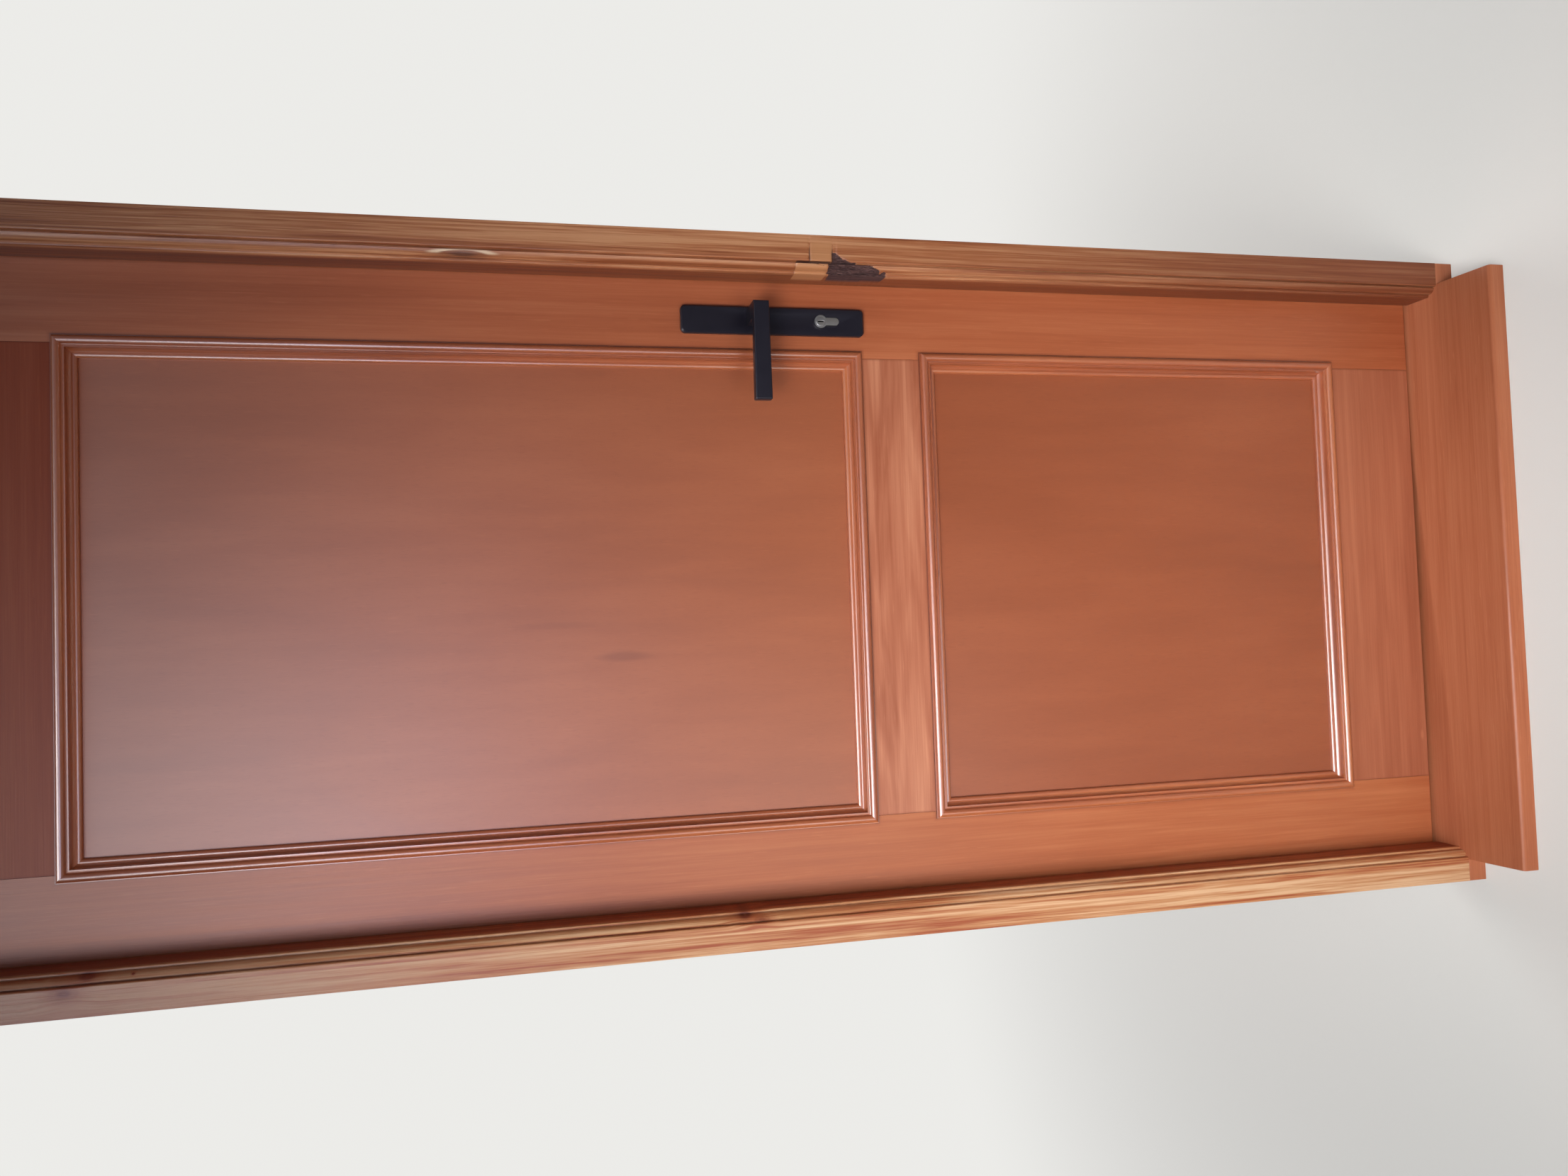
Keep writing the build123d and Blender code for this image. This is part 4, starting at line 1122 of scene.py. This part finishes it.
@dataclass
class Frame:
    """Jambs, head and sill board."""

    # The jambs' painted shade darkens the hinge side towards its top and the lock side towards its
    # foot.
    hinge_jamb: KnottyPine = KnottyPine(
        shade=(0.20, 0.030, 0.012), dark=(0.38, 0.088, 0.030), middle=(0.57, 0.26, 0.115),
        pale=(0.75, 0.47, 0.275), knot_dark=(0.13, 0.020, 0.012), painted_shade_from=1.10, painted_shade_to=1.90,
        painted_shade_strength=0.60, knots=(
            Knot(-0.4035, 1.078, 0.0060, 0.0130, 6.0, 0.90),
            Knot(-0.4095, 1.058, 0.0045, 0.0100, 8.0, 0.60),
            Knot(-0.4190, 1.826, 0.0080, 0.0150, 7.0, 1.0),
            Knot(-0.4050, 1.806, 0.0050, 0.0120, 5.0, 0.9),
            Knot(-0.4060, 1.760, 0.0012, 0.0018, 3.0, 1.0),
        ))
    lock_jamb: KnottyPine = KnottyPine(
        dark=(0.28, 0.082, 0.030), middle=(0.45, 0.165, 0.068), pale=(0.62, 0.300, 0.150),
        damaged=True, painted_shade_from=1.05, painted_shade_to=0.25, painted_shade_strength=0.68,
        knots=(Knot(0.4060, 1.394, 0.0042, 0.0300, 7.0, 0.75, 1.0),))
    head_jamb: KnottyPine = KnottyPine(knots=(Knot(0.130, 2.012, 0.012, 0.006, 6.0, 0.7),))
    sill: StainedBoard = StainedBoard(
        dark=(0.36, 0.100, 0.043), middle=(0.49, 0.162, 0.076), pale=(0.60, 0.235, 0.118),
        figure=0.4, roughness=0.36, dashes=0.45, specular=0.2)
    sill_easing: float = 0.8 * MM

    def build(self) -> None:
        """Carries the frame's members over, eases the sill board's edges and dresses them."""
        for number, node in enumerate(("hinge_jamb", "lock_jamb", "head_jamb"), 11):
            piece = carried_over(node, f"{node}_pine")
            if node == "lock_jamb":
                TornPatch().apply(piece)
            grain = Grain.ALONG_X if node == "head_jamb" else Grain.ALONG_Z
            wood = getattr(self, node).make(f"{node}_wood", grain, number)
            settle(piece, wood, node)
        sill = carried_over("sill_board", "sill_board_step", self.sill_easing)
        wood = self.sill.make("sill_wood", Grain.ALONG_X, 14)
        settle(sill, wood, "sill_board")


@dataclass
class Ironmongery:
    """Handle set, lock, cylinder, hinges, seals and screws."""

    plate_easing: float = 0.5 * MM
    lever_easing: float = 1.2 * MM
    cylinder_easing: float = 0.35 * MM
    steel_easing: float = 0.3 * MM
    keyway_shade_from: float = -9.8 * MM

    def build(self) -> None:
        """Dresses the metal and rubber parts, and softens the edges that show."""
        black, nickel, steel, hinge_steel = (
            finish.make(name) for finish, name in (
                (BLACK_COATING, "black_coating"), (NICKEL, "nickel"), (PLAIN_STEEL, "steel"),
                (HINGE_STEEL, "hinge_steel")))
        # The plug's nickel takes painted shade in its keyway.
        plug = replace(NICKEL, hollow_shade_from=self.keyway_shade_from).make("plug_nickel_keyway_shade")
        knuckles = [f"{level}_hinge_{half}_knuckle" for level in ("bottom", "middle", "top")
                    for half in ("frame", "leaf")]
        for material, slot, width, nodes in (
            (black, "black_coating", self.plate_easing, ("outer_plate", "inner_plate")),
            (black, "black_coating", self.lever_easing, ("outer_lever", "inner_lever")),
            (nickel, "nickel", self.cylinder_easing, ("cylinder_body",)),
            (plug, "nickel", self.cylinder_easing, ("cylinder_plug",)),
            (steel, "steel", self.steel_easing,
             ("lock_faceplate", "strike_plate", "latch_bolt", "dead_bolt")),
            (hinge_steel, "hinge_steel", self.steel_easing, knuckles),
        ):
            for node in nodes:
                settle(carried_over(node, f"{node}_eased", width, 3), material, node)
        for material, nodes in (
            (black, ("plate_screws",)), (nickel, ("cylinder_cam",)), (hinge_steel, ("hinge_pins",)),
            (steel, ("lock_case", "faceplate_screws", "strike_plate_screws", "cylinder_screw",
                     "grub_screws", "spindle", "lock_follower")),
            (SEAL_RUBBER.make("seal_rubber"), ("frame_seal", "bottom_seal")),
            (WASHER_PLASTIC.make("washer_plastic"), ("hinge_washers",)),
            (KnottyPine().make("corner_tongue_wood", Grain.ALONG_X, 15), ("corner_tongues",)),
        ):
            for node in nodes:
                dress(frame["nodes"][node], material)
            log.info("dressed %d pieces with %s", len(nodes), material.name)


# Surroundings

BACKDROP: Colour = (0.84, 0.835, 0.81)
FLOOR_PAINT: Colour = (0.78, 0.77, 0.75)
SOFT_SKY: Colour = (0.96, 0.97, 1.0)
GLOSS_SKY: Colour = (0.70, 0.78, 1.0)
WARM: Colour = (1.0, 0.975, 0.94)
SKY_BLUE: Colour = (0.45, 0.65, 1.0)
HAZE: Colour = (0.62, 0.66, 1.0)
PALE_SKY: Colour = (0.95, 0.94, 1.0)


@dataclass(frozen=True)
class Lamp:
    """A soft square lamp; one for gloss alone shows in reflections and lights nothing else."""

    name: str
    place: Triple
    target: Triple
    size: float
    power: float
    colour: Colour = WARM
    spread: float = 180.0
    gloss_only: bool = False

    def hang(self) -> None:
        """Puts the lamp in its place, facing its target."""
        data = bpy.data.lights.new(self.name, "AREA")
        data.size = self.size
        data.energy = self.power
        data.color = self.colour
        data.spread = math.radians(self.spread)
        lamp = bpy.data.objects.new(self.name, data)
        bpy.context.scene.collection.objects.link(lamp)
        lamp.location = self.place
        facing = Vector(self.target) - Vector(self.place)
        lamp.rotation_euler = facing.to_track_quat("-Z", "Y").to_euler()
        lamp.visible_diffuse = not self.gloss_only


LAMPS = (
    Lamp("key_lamp", (-0.7, -1.5, 1.85), (-0.03, 0.0, 0.95), 0.9, 4.1, spread=64.0),
    Lamp("low_lamp", (-0.8, -1.9, 0.45), (-0.05, 0.0, 0.45), 0.9, 2.9, spread=80.0),
    Lamp("step_lamp", (-0.3, -1.4, 1.4), (-0.05, -0.12, 0.0), 0.7, 2.6, spread=70.0),
    Lamp("sky_lamp", (-0.4, -3.0, 2.1), (0.0, 0.0, 1.6), 1.4, 8.0, SKY_BLUE, gloss_only=True),
    Lamp("haze_lamp", (-0.9, -3.0, 1.75), (0.0, 0.0, 1.5), 1.2, 24.0, HAZE, gloss_only=True),
    Lamp("high_lamp", (-3.0, -6.0, 8.6), (0.0, 0.0, 0.8), 6.0, 1600.0, PALE_SKY, gloss_only=True),
    Lamp("back_lamp", (1.0, 2.8, 1.8), (0.0, 0.0, 1.0), 2.0, 75.0),
)


@dataclass
class Studio:
    """Camera, lamps, floor and sky."""

    camera_place: Triple = (-0.057022, -1.440807, 1.334382)
    camera_right: Triple = (0.9986668, -0.04503761, -0.02522381)
    camera_up: Triple = (0.03464349, 0.22251141, 0.97431437)
    lens: float = 26.1
    floor_radius: float = 30.0
    floor_fades: Pair = (0.5, 2.6)
    floor_glow: float = 0.4
    soft_light: float = 0.10
    gloss_light: float = 0.25

    def camera(self) -> None:
        """Sets the camera where the photograph was taken, lying on its side as it does."""
        data = bpy.data.cameras.new("viewpoint")
        data.lens = self.lens
        data.sensor_width = 36.0
        data.sensor_fit = "HORIZONTAL"
        camera = bpy.data.objects.new("viewpoint", data)
        bpy.context.scene.collection.objects.link(camera)
        right, up = Vector(self.camera_right), Vector(self.camera_up)
        turn = Matrix((-up, right, right.cross(up))).transposed().to_4x4()
        camera.matrix_world = Matrix.Translation(self.camera_place) @ turn
        bpy.context.scene.camera = camera

    def floor(self) -> None:
        """Lays a plain pale floor that, to the eye alone, runs out into the surrounding."""
        bpy.ops.object.select_all(action="DESELECT")
        bpy.ops.mesh.primitive_circle_add(vertices=96, radius=self.floor_radius,
                                          fill_type="NGON", location=(0.0, 0.0, 0.0))
        floor = bpy.context.object
        floor.name = "floor"
        recipe = Recipe("floor_paint")
        recipe.surface(Base_Color=FLOOR_PAINT, Roughness=0.85)
        x, y, _ = recipe.place()
        eye = recipe.node("ShaderNodeLightPath", out="Is Camera Ray")
        away = x.across(y).step(*self.floor_fades)
        share = (away * (1.0 - self.floor_glow) + self.floor_glow) * eye
        glow = recipe.node("ShaderNodeEmission", {}, {"Color": BACKDROP, "Strength": 1.0})
        mixed = recipe.node("ShaderNodeMixShader", {}, {
            0: share, 1: Socket(recipe, recipe.shader.outputs[0]), 2: glow,
        })
        recipe.feed(recipe.tree.nodes["Material Output"].inputs["Surface"], mixed)
        dress(floor, recipe.material)

    def sky(self) -> None:
        """A plain pale surrounding: bright to the eye, faintly blue in gloss, soft on the door."""
        world = bpy.data.worlds.new("surrounding")
        bpy.context.scene.world = world
        world.use_nodes = True
        sky = Tree(world.node_tree)
        light, gloss, seen = (
            sky.node("ShaderNodeBackground", {}, {"Color": colour, "Strength": strength})
            for colour, strength in ((SOFT_SKY, self.soft_light), (GLOSS_SKY, self.gloss_light),
                                     (BACKDROP, 1.0)))
        path = sky.node("ShaderNodeLightPath")
        for ray, other in (("Is Glossy Ray", gloss), ("Is Camera Ray", seen)):
            light = sky.node("ShaderNodeMixShader", {}, {0: path.beside(ray), 1: light, 2: other})
        sky.feed(sky.tree.nodes["World Output"].inputs["Surface"], light)

    def build(self) -> None:
        """Sets the studio up."""
        self.camera()
        self.floor()
        self.sky()
        for lamp in LAMPS:
            lamp.hang()
        bpy.context.scene.view_settings.view_transform = "Standard"


def main() -> None:
    """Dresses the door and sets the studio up."""
    logging.basicConfig(level=logging.INFO, format="%(message)s")
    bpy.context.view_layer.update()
    for part in (Studio(), Frame(), Leaf(), PanelMouldings(), Ironmongery()):
        part.build()
        log.info("finished %s", type(part).__name__)


if __name__ == "__main__":
    main()
